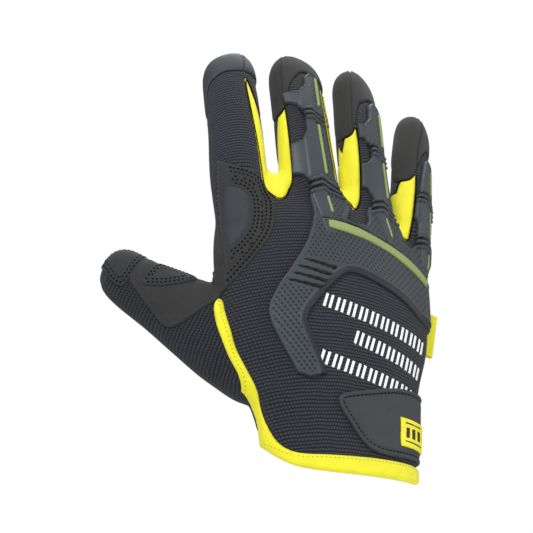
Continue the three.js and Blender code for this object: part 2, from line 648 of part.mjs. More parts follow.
// Side panels between neighbouring fingers, joined by the web at the bottom of each gap.
function webOutline(web) {
  const curve = WEB_CURVE.map(({ across, rise }) => ({
    x: web.x + across * web.halfWidth,
    z: web.foot + rise,
  }));
  return [{ x: curve[0].x, z: web.top }, ...curve, { x: curve.at(-1).x, z: web.top }];
}
const sideZone = (k, grow) => joined([
  block(FINGER_NAMES[k], FOURCHETTES[k].lower, grow),
  block(FINGER_NAMES[k + 1], FOURCHETTES[k].upper, grow),
  plate(webOutline(WEBS[k]), -FAR, WEB_SEAM, grow),
]);
const sideZones = FOURCHETTES.map((_, k) => sideZone(k, GAP));
FOURCHETTES.forEach((_, k) => {
  const others = sideZones.slice(0, k);
  const zone = sideZone(k, 0).subtract(joined([capsOff, ...others]));
  put(`${FINGER_NAMES[k]}_${FINGER_NAMES[k + 1]}_fourchette`, cloth.intersect(zone), YELLOW);
});
const taken = joined([capsOff, ...sideZones]);

// Knit back: everything facing the back of the hand, up to the piping on the thumb side.
const backZone = (grow) => joined([
  plate(BACK_OUTLINE, -FAR, BACK_SEAM, grow),
  ...FINGER_NAMES.map((name) => {
    const edges = { left: -BESIDE, right: BESIDE, low: LIMBS[name].seam };
    const rows = [FINGER_BACK_FROM, FINGER_BACK_TO].map((along) => ({ along, ...edges }));
    return block(name, rows, grow);
  }),
]);
const backOff = backZone(GAP);

// A panel is put in one piece for the hand and one for each limb that it reaches.
function limbZone(name, grow) {
  const side = PANEL_SIDE[name];
  const edges = { left: -side, right: side, low: -PANEL_DEPTH, high: PANEL_DEPTH };
  const rows = [PANEL_FROM[name], PANEL_MIDDLE, CAP_TO];
  return block(name, rows.map((along) => ({ along, ...edges })), grow);
}
function putPanel(hand, side, panel, names, look) {
  put(hand, panel.subtract(joined(names.map((name) => limbZone(name, GAP)))), look);
  names.forEach((name, i) => {
    const others = names.slice(0, i).map((other) => limbZone(other, GAP));
    const zone = limbZone(name, 0).subtract(joined([belowHem, ...others]));
    put(`${name}_${side}`, panel.intersect(zone), look);
  });
}
putPanel('back_panel', 'back', cloth.intersect(backZone(0)).subtract(taken), FINGER_NAMES, KNIT);

// Knit back of the thumb, and the leather that makes the whole palm side.
const thumbZone = (grow) => block('thumb', THUMB_KNIT, grow);
const palmOff = joined([backOff, thumbZone(GAP), taken]);
put('thumb_back', cloth.intersect(thumbZone(0)).subtract(backOff).subtract(taken), KNIT);
putPanel('palm_panel', 'palm', cloth.subtract(palmOff), Object.keys(LIMBS), SUEDE);

// Suede saddle between the index finger and the thumb, with its padded insert and the thumb patches.
const pipingPlan = (grow) => joined([
  plate(PIPING, -FAR, PIPING_SIDE, grow),
  plate(PIPING_HEM, -FAR, HEM_SIDE, grow),
]);
const coverTop = GAP + COVER;
const coverLayer = layer(GAP, coverTop);
const patchLayer = layer(coverTop + GAP, coverTop + GAP + COVER);
const saddlePlan = joined([
  plate(SADDLE_PALM, -FAR, SADDLE_SIDE),
  block('thumb', SADDLE_THUMB),
]);
const saddleOff = joined([block('thumb', THUMB_TIP_PATCH, GAP), pipingPlan(GAP)]);
put('saddle_panel', coverLayer.intersect(saddlePlan).subtract(saddleOff), SUEDE);
put('saddle_pad', patchLayer.intersect(plate(SADDLE_PAD, -FAR, MIDDLE)), RUBBER);
put('thumb_tip_patch', coverLayer.intersect(block('thumb', THUMB_TIP_PATCH)), SUEDE);
put('thumb_side_patch', patchLayer.intersect(block('thumb', THUMB_SIDE_PATCH)), SUEDE);

// Moulded knuckle guard with its three finger arms, raised spines and flex ribs.
const guardTop = GAP + GUARD;
const spineTop = guardTop + SPINE;
const arms = Object.entries(ARMS);
function slotPlate(slot) {
  const half = SLOT_WIDTH / 2 / PALM_LENGTH;
  return plate([
    { x: slot.leftX, z: slot.leftZ + half },
    { x: slot.rightX, z: slot.rightZ + half },
    { x: slot.rightX, z: slot.rightZ - half },
    { x: slot.leftX, z: slot.leftZ - half },
  ], -FAR, MIDDLE);
}
function raisedZone(name, arm) {
  const { spine, rib } = arm;
  const half = RIB_WIDTH / 2 / LIMBS[name].length;
  const straight = (from, to, { left, right }) => block(name, [
    { along: from, left, right },
    { along: to, left, right },
  ]);
  return joined([
    straight(spine.from, spine.to, spine),
    ...rib.at.map((along) => straight(along - half, along + half, rib)),
  ]);
}
function stripeBlock(name, stripe, grow) {
  const half = STRIPE_WIDTH / (LIMBS[name].width * FINGER_WIDTH);
  const edges = { left: stripe.right - half, right: stripe.right + half };
  return block(name, [{ along: stripe.from, ...edges }, { along: stripe.to, ...edges }], grow);
}
const guardPlan = joined([
  plate(GUARD_OUT, -FAR, GUARD_SIDE),
  ...arms.map(([name, arm]) => block(name, arm.edges)),
]);
const upperHalf = layer(GAP + GUARD / 2, spineTop);
const stripesOff = joined(arms.flatMap(([name, arm]) => (
  arm.stripes.map((stripe) => stripeBlock(name, stripe, GAP))
)));
const raisedPlan = joined(arms.map(([name, arm]) => raisedZone(name, arm))).intersect(guardPlan);
const guard = layer(GAP, guardTop).intersect(guardPlan)
  .add(upperHalf.intersect(raisedPlan).subtract(stripesOff))
  .subtract(upperHalf.intersect(joined(GUARD_SLOTS.map(slotPlate))));
put('knuckle_guard', guard, RUBBER);

// Coloured bar across the knuckles, stopping short of the arms, and the stripes on the arms.
const armsOff = joined(arms.map(([name, arm]) => {
  const rows = arm.edges.map((row) => ({ ...row, along: row.along + BAR_CLEARANCE }));
  return block(name, rows, GAP);
}));
const barLayer = layer(guardTop + GAP, guardTop + GAP + COVER);
const stripeLayer = layer(guardTop + GAP, guardTop + GAP + SPINE);
put('knuckle_bar', barLayer.intersect(plate(KNUCKLE_BAR, -FAR, MIDDLE)).subtract(armsOff), LIME);
arms.forEach(([name, arm]) => {
  arm.stripes.forEach((stripe, i) => {
    put(`${name}_stripe_${i + 1}`, stripeLayer.intersect(stripeBlock(name, stripe, 0)), LIME);
  });
});

// Closing strap over the back of the wrist, and its label.
const strapTop = GAP + STRAP;
const strapPlan = joined([
  plate(STRAP_TAB, -FAR, STRAP_SIDE),
  plate(STRAP_BAND, STRAP_SIDE - STRAP_OVERLAP, FAR),
]);
const labelLayer = layer(strapTop + GAP, strapTop + GAP + COVER);
put('wrist_strap', layer(GAP, strapTop).intersect(strapPlan).subtract(belowHem), RUBBER);
put('strap_label', labelLayer.intersect(plate(STRAP_LABEL, -FAR, MIDDLE)), YELLOW);

// Bound edge along the thumb side of the back and round the hem.
const piping = coverLayer.intersect(pipingPlan(0))
  .add(layer(-WALL, coverTop).intersect(plate(PIPING_FOOT, -FAR, HEM_SIDE)));
put('cuff_piping', piping, YELLOW);

// Folded pull loop sewn into the little-finger side seam.
const outer = (3 * LOOP_PLY) / 2;
const inner = LOOP_PLY / 2;
const loopShape = new THREE.Shape();
loopShape.moveTo(-LOOP_REACH, -outer);
loopShape.lineTo(0, -outer);
loopShape.absarc(0, 0, outer, -Math.PI / 2, Math.PI / 2, false);
loopShape.lineTo(-LOOP_REACH, outer);
loopShape.lineTo(-LOOP_REACH, inner);
loopShape.lineTo(0, inner);
loopShape.absarc(0, 0, inner, Math.PI / 2, -Math.PI / 2, true);
loopShape.lineTo(-LOOP_REACH, -inner);
const loopSettings = { depth: LOOP_LENGTH, bevelEnabled: false, curveSegments: LOOP_SIDES };
const loopGeometry = new THREE.ExtrudeGeometry(loopShape, loopSettings);
loopGeometry.rotateY(rad(LOOP_TURN));
loopGeometry.translate(LOOP_AT.x * KNUCKLE_WIDTH, LOOP_AT.y * PALM_DEPTH, LOOP_AT.z * PALM_LENGTH);
put('pull_loop', solidFrom(loopGeometry).subtract(form(GAP)), YELLOW);

export default glove;
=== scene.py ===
"""Right-hand mechanic's work glove in its worn form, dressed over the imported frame."""

import math

import bmesh
import bpy
import numpy as np
from mathutils import Matrix, Vector
from mathutils.bvhtree import BVHTree


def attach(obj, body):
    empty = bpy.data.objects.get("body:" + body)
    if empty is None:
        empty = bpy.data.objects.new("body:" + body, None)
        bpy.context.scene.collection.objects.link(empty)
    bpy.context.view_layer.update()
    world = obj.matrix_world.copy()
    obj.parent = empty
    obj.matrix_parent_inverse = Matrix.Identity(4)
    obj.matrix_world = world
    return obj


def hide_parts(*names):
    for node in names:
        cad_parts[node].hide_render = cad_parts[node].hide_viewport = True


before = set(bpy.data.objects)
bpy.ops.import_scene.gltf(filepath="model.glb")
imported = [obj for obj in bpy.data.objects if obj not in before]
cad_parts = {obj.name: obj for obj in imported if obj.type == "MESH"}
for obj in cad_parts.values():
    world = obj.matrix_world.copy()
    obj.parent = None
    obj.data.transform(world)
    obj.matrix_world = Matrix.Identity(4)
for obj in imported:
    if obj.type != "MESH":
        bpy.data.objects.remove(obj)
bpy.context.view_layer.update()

# Studio
# The glove stands up on nothing visible, fingers up, in front of a plain white sweep. The camera
# looks up at it from below the wrist and from the thumb side, through a long lens.

VIEW_AZIMUTH = math.radians(-25)
VIEW_ELEVATION = math.radians(-24)
VIEW_DISTANCE = 0.54
VIEW_AIM = Vector((-0.0506, -0.0204, 0.0896))

towards_camera = Vector((
    math.sin(VIEW_AZIMUTH) * math.cos(VIEW_ELEVATION),
    -math.cos(VIEW_AZIMUTH) * math.cos(VIEW_ELEVATION),
    math.sin(VIEW_ELEVATION),
))
camera_data = bpy.data.cameras.new("camera")
camera_data.sensor_width = 36
camera_data.lens = 74.89
camera_data.clip_start = 0.01
camera_data.clip_end = 20
camera = bpy.data.objects.new("camera", camera_data)
camera.location = VIEW_AIM + towards_camera * VIEW_DISTANCE
camera.rotation_euler = towards_camera.to_track_quat("Z", "Y").to_euler()
bpy.context.scene.collection.objects.link(camera)
bpy.context.scene.camera = camera
bpy.context.scene.view_settings.view_transform = "Standard"


def soft_light(name, place, aim, size, power):
    data = bpy.data.lights.new(name, "AREA")
    data.shape = "RECTANGLE"
    data.size = size[0]
    data.size_y = size[1]
    data.energy = power
    lamp = bpy.data.objects.new(name, data)
    lamp.location = place
    lamp.rotation_euler = (Vector(place) - Vector(aim)).to_track_quat("Z", "Y").to_euler()
    bpy.context.scene.collection.objects.link(lamp)


soft_light("key_light", (-0.75, -0.75, 0.85), (0, 0, 0.1), (0.45, 0.45), 12)
soft_light("fill_light", (0.95, -0.75, 0.3), (0, 0, 0.1), (0.8, 0.8), 5)
soft_light("low_light", (-0.35, -0.9, -0.35), (0, 0, 0.05), (0.7, 0.5), 3)
soft_light("top_light", (0.15, 0.2, 1.0), (0, 0, 0.1), (0.6, 0.6), 6)

# The backdrop is white to the camera, and lights the glove more softly than it shows.
world = bpy.data.worlds.new("studio")
bpy.context.scene.world = world
world.use_nodes = True
world_tree = world.node_tree
seen = world_tree.nodes.new("ShaderNodeLightPath")
level = world_tree.nodes.new("ShaderNodeMapRange")
level.inputs["To Min"].default_value = 0.42
level.inputs["To Max"].default_value = 1.0
world_tree.links.new(seen.outputs["Is Camera Ray"], level.inputs["Value"])
world_tree.links.new(level.outputs["Result"], world_tree.nodes["Background"].inputs["Strength"])
world_tree.nodes["Background"].inputs["Color"].default_value = (1, 1, 1, 1)

FLOOR_LEVEL = -0.32
sweep_bm = bmesh.new()
bmesh.ops.create_grid(sweep_bm, x_segments=2, y_segments=2, size=3)
bmesh.ops.translate(sweep_bm, vec=(0, 0, FLOOR_LEVEL), verts=sweep_bm.verts)
sweep_mesh = bpy.data.meshes.new("studio_floor")
sweep_bm.to_mesh(sweep_mesh)
sweep_bm.free()
sweep = bpy.data.objects.new("studio_floor", sweep_mesh)
bpy.context.scene.collection.objects.link(sweep)
white = bpy.data.materials.new("white_paper")
white.use_nodes = True
white.node_tree.nodes["Principled BSDF"].inputs["Base Color"].default_value = (0.9, 0.9, 0.9, 1)
white.node_tree.nodes["Principled BSDF"].inputs["Roughness"].default_value = 0.9
sweep_mesh.materials.append(white)

# Worn form
# Every panel of the glove takes the form of the hand inside it. That form is one smooth skin: a palm
# and five limbs of rounded sections, joined with soft webs. All lengths here are millimetres.

AXIS_STEPS = 60
LIMB_POWER = 2.4
PALM_POWER = 2.3
SKIN_CELL = 1.28
LIMBS = {
    "index": dict(length=124, width=29.5, depth=21, root=(-54.5, 0, 115), lean=(-4, 4),
                  bend=(1, 22), turn=-36),
    "middle": dict(length=133, width=32, depth=22, root=(-13.6, -7, 110.6), lean=(-9, 8),
                   bend=(0, 22), turn=6),
    "ring": dict(length=135, width=29, depth=21, root=(17.3, -5, 110.6), lean=(-4, 11),
                 bend=(0, 22), turn=25),
    "little": dict(length=116, width=27, depth=20, root=(45, 4, 112.2), lean=(6, 18),
                   bend=(2, 18), turn=42),
    "thumb": dict(length=124, width=30, depth=25, root=(-17, -1, 33.9), lean=(-54, -59),
                  bend=(14, 19), turn=-30),
}
# along, width, depth, sideways shift: shares of the limb's own sizes
FINGER_ROWS = [
    (0, 0.9, 1, 0), (0.2, 1, 1.04, 0), (0.5, 1, 1, 0), (0.76, 1, 0.97, 0), (0.88, 0.97, 0.92, 0),
    (0.95, 0.8, 0.75, 0), (0.99, 0.44, 0.42, 0), (1, 0, 0, 0),
]
THUMB_ROWS = [
    (0, 0.9, 1.1, 0), (0.2, 1.5, 1.35, 0), (0.38, 1.56, 1.3, 0), (0.55, 1.34, 1.16, -0.03),
    (0.72, 1.06, 1, -0.05), (0.86, 0.93, 0.9, -0.03), (0.94, 0.82, 0.77, 0),
    (0.98, 0.6, 0.5, 0), (1, 0, 0, 0),
]
# z, x, width, depth, cup, tilt
PALM_ROWS = [
    (-20, -1, 79.6, 42, 0, 0), (0, -1, 79.6, 42, 0, 0), (16, -2.2, 84.4, 43, 0, 0),
    (36, -5, 94, 44, 1, 0), (62, -6, 112, 43, 3, 0), (90, -7, 121, 40, 6, 3),
    (114, -6.5, 123, 35, 9, 6), (134, -5, 116, 26, 10, 10), (145, -4, 92, 16, 10, 11),
    (149.2, -4, 0, 0, 10, 11),
]


def eased(knots, values, at):
    """A smooth curve through the knots."""
    knots = np.asarray(knots, float)
    values = np.asarray(values, float)
    slope = np.gradient(values, knots)
    i = np.clip(np.searchsorted(knots, at) - 1, 0, len(knots) - 2)
    gap = knots[i + 1] - knots[i]
    t = np.clip((at - knots[i]) / gap, 0, 1)
    rise = values[i + 1] - values[i]
    bow = t * (1 - t) * ((1 - t) * (slope[i] * gap - rise) - t * (slope[i + 1] * gap - rise))
    return values[i] + t * rise + bow


def signed_power(value, power):
    return np.sign(value) * np.abs(value) ** power


def limb_axis(limb):
    """Centre, up, out of the back, towards the little finger: one row for each step."""
    turn = math.radians(limb["turn"])
    back = np.array((math.sin(turn), -math.cos(turn), 0))
    point = np.array(limb["root"], float)
    rows = []
    for step in range(AXIS_STEPS + 1):
        share = step / AXIS_STEPS
        lean = math.radians(limb["lean"][0] * (1 - share) + limb["lean"][1] * share)
        bend = math.radians(limb["bend"][0] * (1 - share) + limb["bend"][1] * share)
        up = np.array((math.sin(lean) * math.cos(bend), math.sin(bend),
                       math.cos(lean) * math.cos(bend)))
        out = back - up * (back @ up)
        out /= np.linalg.norm(out)
        rows.append((point.copy(), up, out, np.cross(up, out)))
        point = point + up * limb["length"] / AXIS_STEPS
    return [np.array(column) for column in zip(*rows)]


AXES = {name: limb_axis(limb) for name, limb in LIMBS.items()}


def along_axis(rows, share):
    """The axis row at any share of the length."""
    step = np.clip(share, 0, 1) * AXIS_STEPS
    low = np.minimum(step.astype(int), AXIS_STEPS - 1)
    part = (step - low)[:, None]
    return rows[low] * (1 - part) + rows[low + 1] * part


def limb_section(name, share):
    """Half width, half depth and sideways shift of a limb at each share of its length."""
    rows = np.array(THUMB_ROWS if name == "thumb" else FINGER_ROWS)
    root = np.sqrt(1 - rows[::-1, 0])
    at = np.sqrt(1 - np.clip(share, 0, 1))
    width, depth, shift = (eased(root, rows[::-1, column], at) for column in (1, 2, 3))
    limb = LIMBS[name]
    return width * limb["width"] / 2, depth * limb["depth"] / 2, shift * limb["width"]


def skin_of(bm, sides, rows, place):
    """A round closed skin whose rings are put in place by the given function."""
    made = bmesh.ops.create_uvsphere(bm, u_segments=sides, v_segments=rows, radius=1)["verts"]
    ball = np.array([vert.co for vert in made])
    rise = 1 - np.arccos(np.clip(ball[:, 2], -1, 1)) / math.pi
    angle = np.arctan2(ball[:, 1], ball[:, 0])
    at_root = (np.hypot(ball[:, 0], ball[:, 1]) < 1e-4) & (ball[:, 2] < 0)
    for vert, point in zip(made, place(rise, angle, np.where(at_root, 0, 1))):
        vert.co = point


def place_limb(name):
    def place(rise, angle, open_end):
        share = 1 - (1 - rise) ** 2
        half_width, half_depth, shift = limb_section(name, share)
        centre, _, out, right = (along_axis(rows, share) for rows in AXES[name])
        across = half_width * signed_power(np.cos(angle), 2 / LIMB_POWER) * open_end + shift
        raised = half_depth * signed_power(np.sin(angle), 2 / LIMB_POWER) * open_end
        return centre + right * across[:, None] + out * raised[:, None]
    return place


def palm_section(level):
    rows = np.array(PALM_ROWS)
    root = np.sqrt(rows[-1, 0] - rows[::-1, 0])
    at = np.sqrt(np.clip(rows[-1, 0] - level, 0, None))
    return [eased(root, rows[::-1, column], at) for column in (1, 2, 3, 4, 5)]


def place_palm(rise, angle, open_end):
    low, high = PALM_ROWS[0][0], PALM_ROWS[-1][0]
    level = high - (high - low) * (1 - rise) ** 2
    middle, width, depth, cup, tilt = palm_section(level)
    share = signed_power(np.cos(angle), 2 / PALM_POWER) * open_end
    raised = signed_power(np.sin(angle), 2 / PALM_POWER) * open_end
    across = share * width / 2
    tilt = np.radians(tilt)
    return np.stack((
        middle + across * np.cos(tilt),
        -raised * depth / 2 - cup * (0.5 - share ** 2),
        level - across * np.sin(tilt),
    ), 1)


def points_of(bm):
    return np.array([vert.co for vert in bm.verts]).reshape(-1, 3)


form_bm = bmesh.new()
skin_of(form_bm, 96, 90, place_palm)
for limb_name in LIMBS:
    skin_of(form_bm, 56, 80, place_limb(limb_name))
bmesh.ops.remove_doubles(form_bm, verts=form_bm.verts, dist=0.01)
bmesh.ops.recalc_face_normals(form_bm, faces=form_bm.faces)
form_mesh = bpy.data.meshes.new("worn_form")
form_bm.to_mesh(form_mesh)
form_bm.free()
form_object = bpy.data.objects.new("worn_form", form_mesh)
bpy.context.scene.collection.objects.link(form_object)
join = form_object.modifiers.new("join", "REMESH")
join.mode = "VOXEL"
join.voxel_size = SKIN_CELL
joined = form_object.evaluated_get(bpy.context.evaluated_depsgraph_get())
skin = bmesh.new()
skin.from_mesh(joined.to_mesh())
bpy.data.objects.remove(form_object)

# Soft folds pressed into the cloth: middle, direction the fold runs, length, width, depth.
FOLDS = [
    ((-52, 2, 62), (0.5, 0, 0.86), 22, 5, 1.6),
    ((-44, -8, 40), (-0.75, 0, 0.66), 20, 5, 0.9),
    ((-34, -14, 32), (-0.8, 0, 0.6), 22, 4, 0.7),
    ((14, 12, 70), (0.9, 0, 0.3), 40, 6, 1.2),
    ((-8, 14, 96), (1, 0, -0.1), 44, 5, 1.2),
    ((-30, 16, 58), (0.35, 0, 0.93), 30, 6, 1.4),
    ((10, -20, 12), (1, 0, 0.05), 26, 4, 0.5),
    ((-4, 20, 22), (1, 0, 0.1), 26, 4, 0.9),
]
# The cloth is never quite flat: height of its long soft waves.
CLOTH_WAVE = 0.22
SMOOTHINGS = 9


def press_folds(points, normals):
    depth = np.zeros(len(points))
    for middle, direction, length, width, amount in FOLDS:
        line = np.array(direction) / np.linalg.norm(direction)
        reach = points - np.array(middle)
        run = reach @ line
        away = np.linalg.norm(reach - run[:, None] * line, axis=1)
        dent = np.exp(-(away / width) ** 2) - 0.55 * np.exp(-((away - 1.7 * width) / width) ** 2)
        depth -= amount * dent * np.exp(-(run / length) ** 2)
    wave = np.sin(points[:, 2] / 9 + points[:, 0] / 23) * np.sin(points[:, 0] / 11 + 1.3)
    return points + normals * (depth + CLOTH_WAVE * wave)[:, None]


for _ in range(SMOOTHINGS):
    bmesh.ops.smooth_vert(skin, verts=skin.verts, factor=0.5, use_axis_x=True,
                          use_axis_y=True, use_axis_z=True)
skin.normal_update()
skin_normals = np.array([vert.normal for vert in skin.verts])
for vert, point in zip(skin.verts, press_folds(points_of(skin), skin_normals)):
    vert.co = point
bmesh.ops.triangulate(skin, faces=skin.faces)
skin.normal_update()

# Places on a limb are read as distance along it and distance round it from the middle of its back.
ROUND_STEPS = 181
quarter = np.linspace(0, math.pi, ROUND_STEPS)
rim = np.stack((15 * signed_power(np.sin(quarter), 2 / LIMB_POWER),
                10.5 * signed_power(np.cos(quarter), 2 / LIMB_POWER)), 1)
ROUND_LENGTH = np.concatenate(([0], np.cumsum(np.linalg.norm(np.diff(rim, axis=0), axis=1))))


def round_length(angle, half_width):
    length = np.interp(np.abs(angle), quarter, ROUND_LENGTH)
    return np.sign(angle) * length * half_width / 15


def on_limb(name, points):
    """Share along the limb, distance round it, shares across and out, and distance off it."""
    centre, up, out, right = AXES[name]
    limb = LIMBS[name]
    ahead = points @ up.T - (centre * up).sum(1)
    step = np.abs(ahead).argmin(1)
    row = np.arange(len(points))
    share = step / AXIS_STEPS + ahead[row, step] / limb["length"]
    half_width, half_depth, shift = limb_section(name, np.clip(share, 0, 0.985))
    reach = points - along_axis(centre, share)
    across = (reach * along_axis(right, share)).sum(1) - shift
    raised = (reach * along_axis(out, share)).sum(1)
    x, y = across / half_width, raised / half_depth
    angle = np.arctan2(signed_power(x, LIMB_POWER / 2), signed_power(y, LIMB_POWER / 2))
    size = (np.abs(x) ** LIMB_POWER + np.abs(y) ** LIMB_POWER) ** (1 / LIMB_POWER)
    off = (size - 1) * half_width
    return dict(share=share, along=share * limb["length"], turn=angle,
                around=round_length(angle, half_width), across=(across + shift) / limb["width"] * 2,
                out=raised / limb["depth"] * 2, off=off, half_width=half_width)


def rounded_outline(corners, rounds):
    """An outline with its corners cut off evenly."""
    points = np.asarray(corners, float)
    for _ in range(rounds):
        after = np.roll(points, -1, axis=0)
        points = np.stack((0.75 * points + 0.25 * after, 0.25 * points + 0.75 * after), 1)
        points = points.reshape(-1, 2)
    return points


def inside(u, v, outline):
    """Distance in from an outline, negative outside it."""
    best = np.full(len(u), 1e9)
    odd = np.zeros(len(u), bool)
    for (ax, ay), (bx, by) in zip(outline, np.roll(outline, -1, axis=0)):
        dx, dy = bx - ax, by - ay
        t = np.clip(((u - ax) * dx + (v - ay) * dy) / max(dx * dx + dy * dy, 1e-12), 0, 1)
        best = np.minimum(best, (u - ax - t * dx) ** 2 + (v - ay - t * dy) ** 2)
        if ay != by:
            odd ^= ((ay > v) != (by > v)) & (u < ax + (v - ay) * dx / dy)
    return np.where(odd, 1, -1) * np.sqrt(best)


def near_limb(at, field, reach=6):
    """The field where the limb's own skin is, and nothing elsewhere."""
    return np.minimum(field, reach - np.abs(at["off"]))


def chains_of(pairs):
    """Joins single steps into runs."""
    links = {}
    for a, b in pairs:
        links.setdefault(a, []).append(b)
        links.setdefault(b, []).append(a)
    runs = []
    while links:
        start = next((k for k, near in links.items() if len(near) == 1), next(iter(links)))
        run = [start]
        while True:
            here = run[-1]
            ahead = links.get(here, [])
            if not ahead:
                links.pop(here, None)
                break
            after = ahead.pop()
            if not ahead:
                links.pop(here, None)
            back = links.get(after, [])
            if here in back:
                back.remove(here)
            run.append(after)
            if not back:
                links.pop(after, None)
                break
        if len(run) > 3:
            runs.append(run)
    return runs


def scribe(bm, field, level=0.0):
    """Cuts an edge line into the skin where the field has the given level, and returns its runs."""
    bm.verts.index_update()
    value = field(points_of(bm)) - level
    value[np.abs(value) < 1e-4] = 1e-4
    crossing = []
    for edge in bm.edges:
        a, b = edge.verts
        if value[a.index] * value[b.index] < 0:
            crossing.append((edge, a, value[a.index] / (value[a.index] - value[b.index])))
    # These keep the order of the cuts, so that each run of this file gives the same lines.
    fresh = dict.fromkeys(bmesh.utils.edge_split(edge, start, share)[1]
                          for edge, start, share in crossing)
    pairs = []
    for face in dict.fromkeys(face for vert in fresh for face in vert.link_faces):
        ends = [vert for vert in face.verts if vert in fresh]
        if len(ends) != 2 or any(ends[1] in edge.verts for edge in ends[0].link_edges):
            continue
        bmesh.utils.face_split(face, ends[0], ends[1])
        pairs.append((tuple(ends[0].co), tuple(ends[1].co)))
    return [np.array(run) for run in chains_of(pairs)]


# Points closer than this merge, so that no speck left by a cut tips the shading.
SPECK = 0.05
# Skin further outside an outline than this is dropped before the outline is cut.
CUT_MARGIN = 4
MILLIMETRE = 0.001


def mark_rows(bm, field, levels):
    """Cuts one edge line at each distance inside an outline, for a profile to follow."""
    for level in levels:
        scribe(bm, field, level)
    bmesh.ops.remove_doubles(bm, verts=bm.verts, dist=SPECK)
    bmesh.ops.dissolve_degenerate(bm, dist=SPECK / 2, edges=bm.edges)
    bmesh.ops.triangulate(bm, faces=bm.faces)
    bm.normal_update()


def cut_out(field, fine=0):
    """The part of the skin where the field is positive, with a clean edge."""
    bm = skin.copy()
    value = field(points_of(bm))
    bmesh.ops.delete(bm, geom=[v for v, x in zip(bm.verts, value) if x < -CUT_MARGIN],
                     context="VERTS")
    for _ in range(fine):
        bmesh.ops.subdivide_edges(bm, edges=bm.edges, cuts=1, smooth=1, use_grid_fill=True)
        bmesh.ops.triangulate(bm, faces=bm.faces)
    scribe(bm, field)
    middles = np.array([face.calc_center_median() for face in bm.faces])
    value = field(middles)
    bmesh.ops.delete(bm, geom=[f for f, x in zip(bm.faces, value) if x < 0], context="FACES")
    bm.normal_update()
    return bm


def lift(bm, height):
    """Moves every point out of the skin by its height."""
    bm.normal_update()
    points = points_of(bm)
    normals = np.array([vert.normal for vert in bm.verts])
    for vert, point in zip(bm.verts, points + normals * height[:, None]):
        vert.co = point


def finished(bm, name, nodes, material, weave=None, marks=None, wall=0.0, sharp=None):
    """Makes the piece from its millimetre mesh: weave is its pattern map, marks its named masks."""
    bmesh.ops.scale(bm, vec=[MILLIMETRE] * 3, verts=bm.verts)
    mesh = bpy.data.meshes.new(name)
    bm.to_mesh(mesh)
    bm.free()
    mesh.polygons.foreach_set("use_smooth", np.ones(len(mesh.polygons), bool))
    if sharp is not None:
        mesh.set_sharp_from_angle(angle=math.radians(sharp))
    if weave is not None:
        layer = mesh.uv_layers.new(name="weave")
        corner = np.zeros(len(mesh.loops), int)
        mesh.loops.foreach_get("vertex_index", corner)
        layer.data.foreach_set("uv", weave[corner].astype(np.float32).ravel())
    for mark, values in (marks or {}).items():
        layer = mesh.attributes.new(mark, "FLOAT", "POINT")
        layer.data.foreach_set("value", np.asarray(values, np.float32))
    mesh.materials.append(material)
    piece = bpy.data.objects.new(name, mesh)
    bpy.context.scene.collection.objects.link(piece)
    if wall:
        shell = piece.modifiers.new("cloth_thickness", "SOLIDIFY")
        shell.thickness = wall * MILLIMETRE
        shell.offset = -1
    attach(piece, "root")
    if nodes:
        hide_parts(*nodes)
    return piece


# Rib knit back
# The back of the hand, up over the backs of the fingers, is one panel of fine stretch rib knit, dark
# navy. It is sewn into the leather at the finger sides and under the bound edge by the thumb.

BACK_OUTLINE = rounded_outline([
    (-68, 80), (-67.6, 65), (-63.4, 55), (-59, 46), (-51, 33), (-45.4, 22.5), (-42.5, 10),
    (-37, 0.7), (-30, -4.3), (-24, -29), (84, -29), (84, 170), (-84, 170), (-84, 87),
], 1)
FINGERS = ("index", "middle", "ring", "little")
# Half turn from the middle of a finger's back to the seam on its side, in degrees.
FINGER_SEAM = {"index": 74, "middle": 88, "ring": 88, "little": 90}


def side_seam(points):
    """How far towards the palm the back reaches on each side of the hand."""
    right = eased((0, 80, 120, 150), (1, 2, 7, 13), points[:, 2])
    left = eased((0, 100, 150), (1, 1, 5), points[:, 2])
    share = np.clip((points[:, 0] - 24) / 16, 0, 1)
    return left + (right - left) * share


def back_field(points):
    field = np.minimum(inside(points[:, 0], points[:, 2], BACK_OUTLINE),
                       side_seam(points) - points[:, 1])
    field = np.minimum(field, 152 - points[:, 2])
    for name in FINGERS:
        at = on_limb(name, points)
        seam = round_length(math.radians(FINGER_SEAM[name]), at["half_width"])
        own = np.minimum(seam - np.abs(at["around"]), at["along"] - 6)
        field = np.maximum(field, near_limb(at, own))
    return field


# Where each fingertip covering begins: share along the finger for each share across it.
CAP_EDGE = {
    "index": ((-1.3, 0.6), (-0.98, 0.63), (-0.8, 0.74), (-0.4, 0.8), (0.4, 0.815), (1.3, 0.8)),
    "middle": ((-1.3, 0.6), (-0.86, 0.63), (-0.72, 0.72), (-0.4, 0.81), (0.4, 0.845), (1.3, 0.8)),
    "ring": ((-1.3, 0.56), (-0.84, 0.58), (-0.74, 0.66), (-0.35, 0.75), (0.4, 0.79), (1.3, 0.76)),
    "little": ((-1.3, 0.48), (-0.84, 0.5), (-0.7, 0.58), (-0.3, 0.71), (0.4, 0.77), (1.3, 0.74)),
}


def cap_field(name):
    def field(points):
        at = on_limb(name, points)
        edge = eased(*zip(*CAP_EDGE[name]), np.clip(at["across"], -1.25, 1.25))
        return near_limb(at, (at["share"] - edge) * LIMBS[name]["length"] * 0.9, 9)
    return field


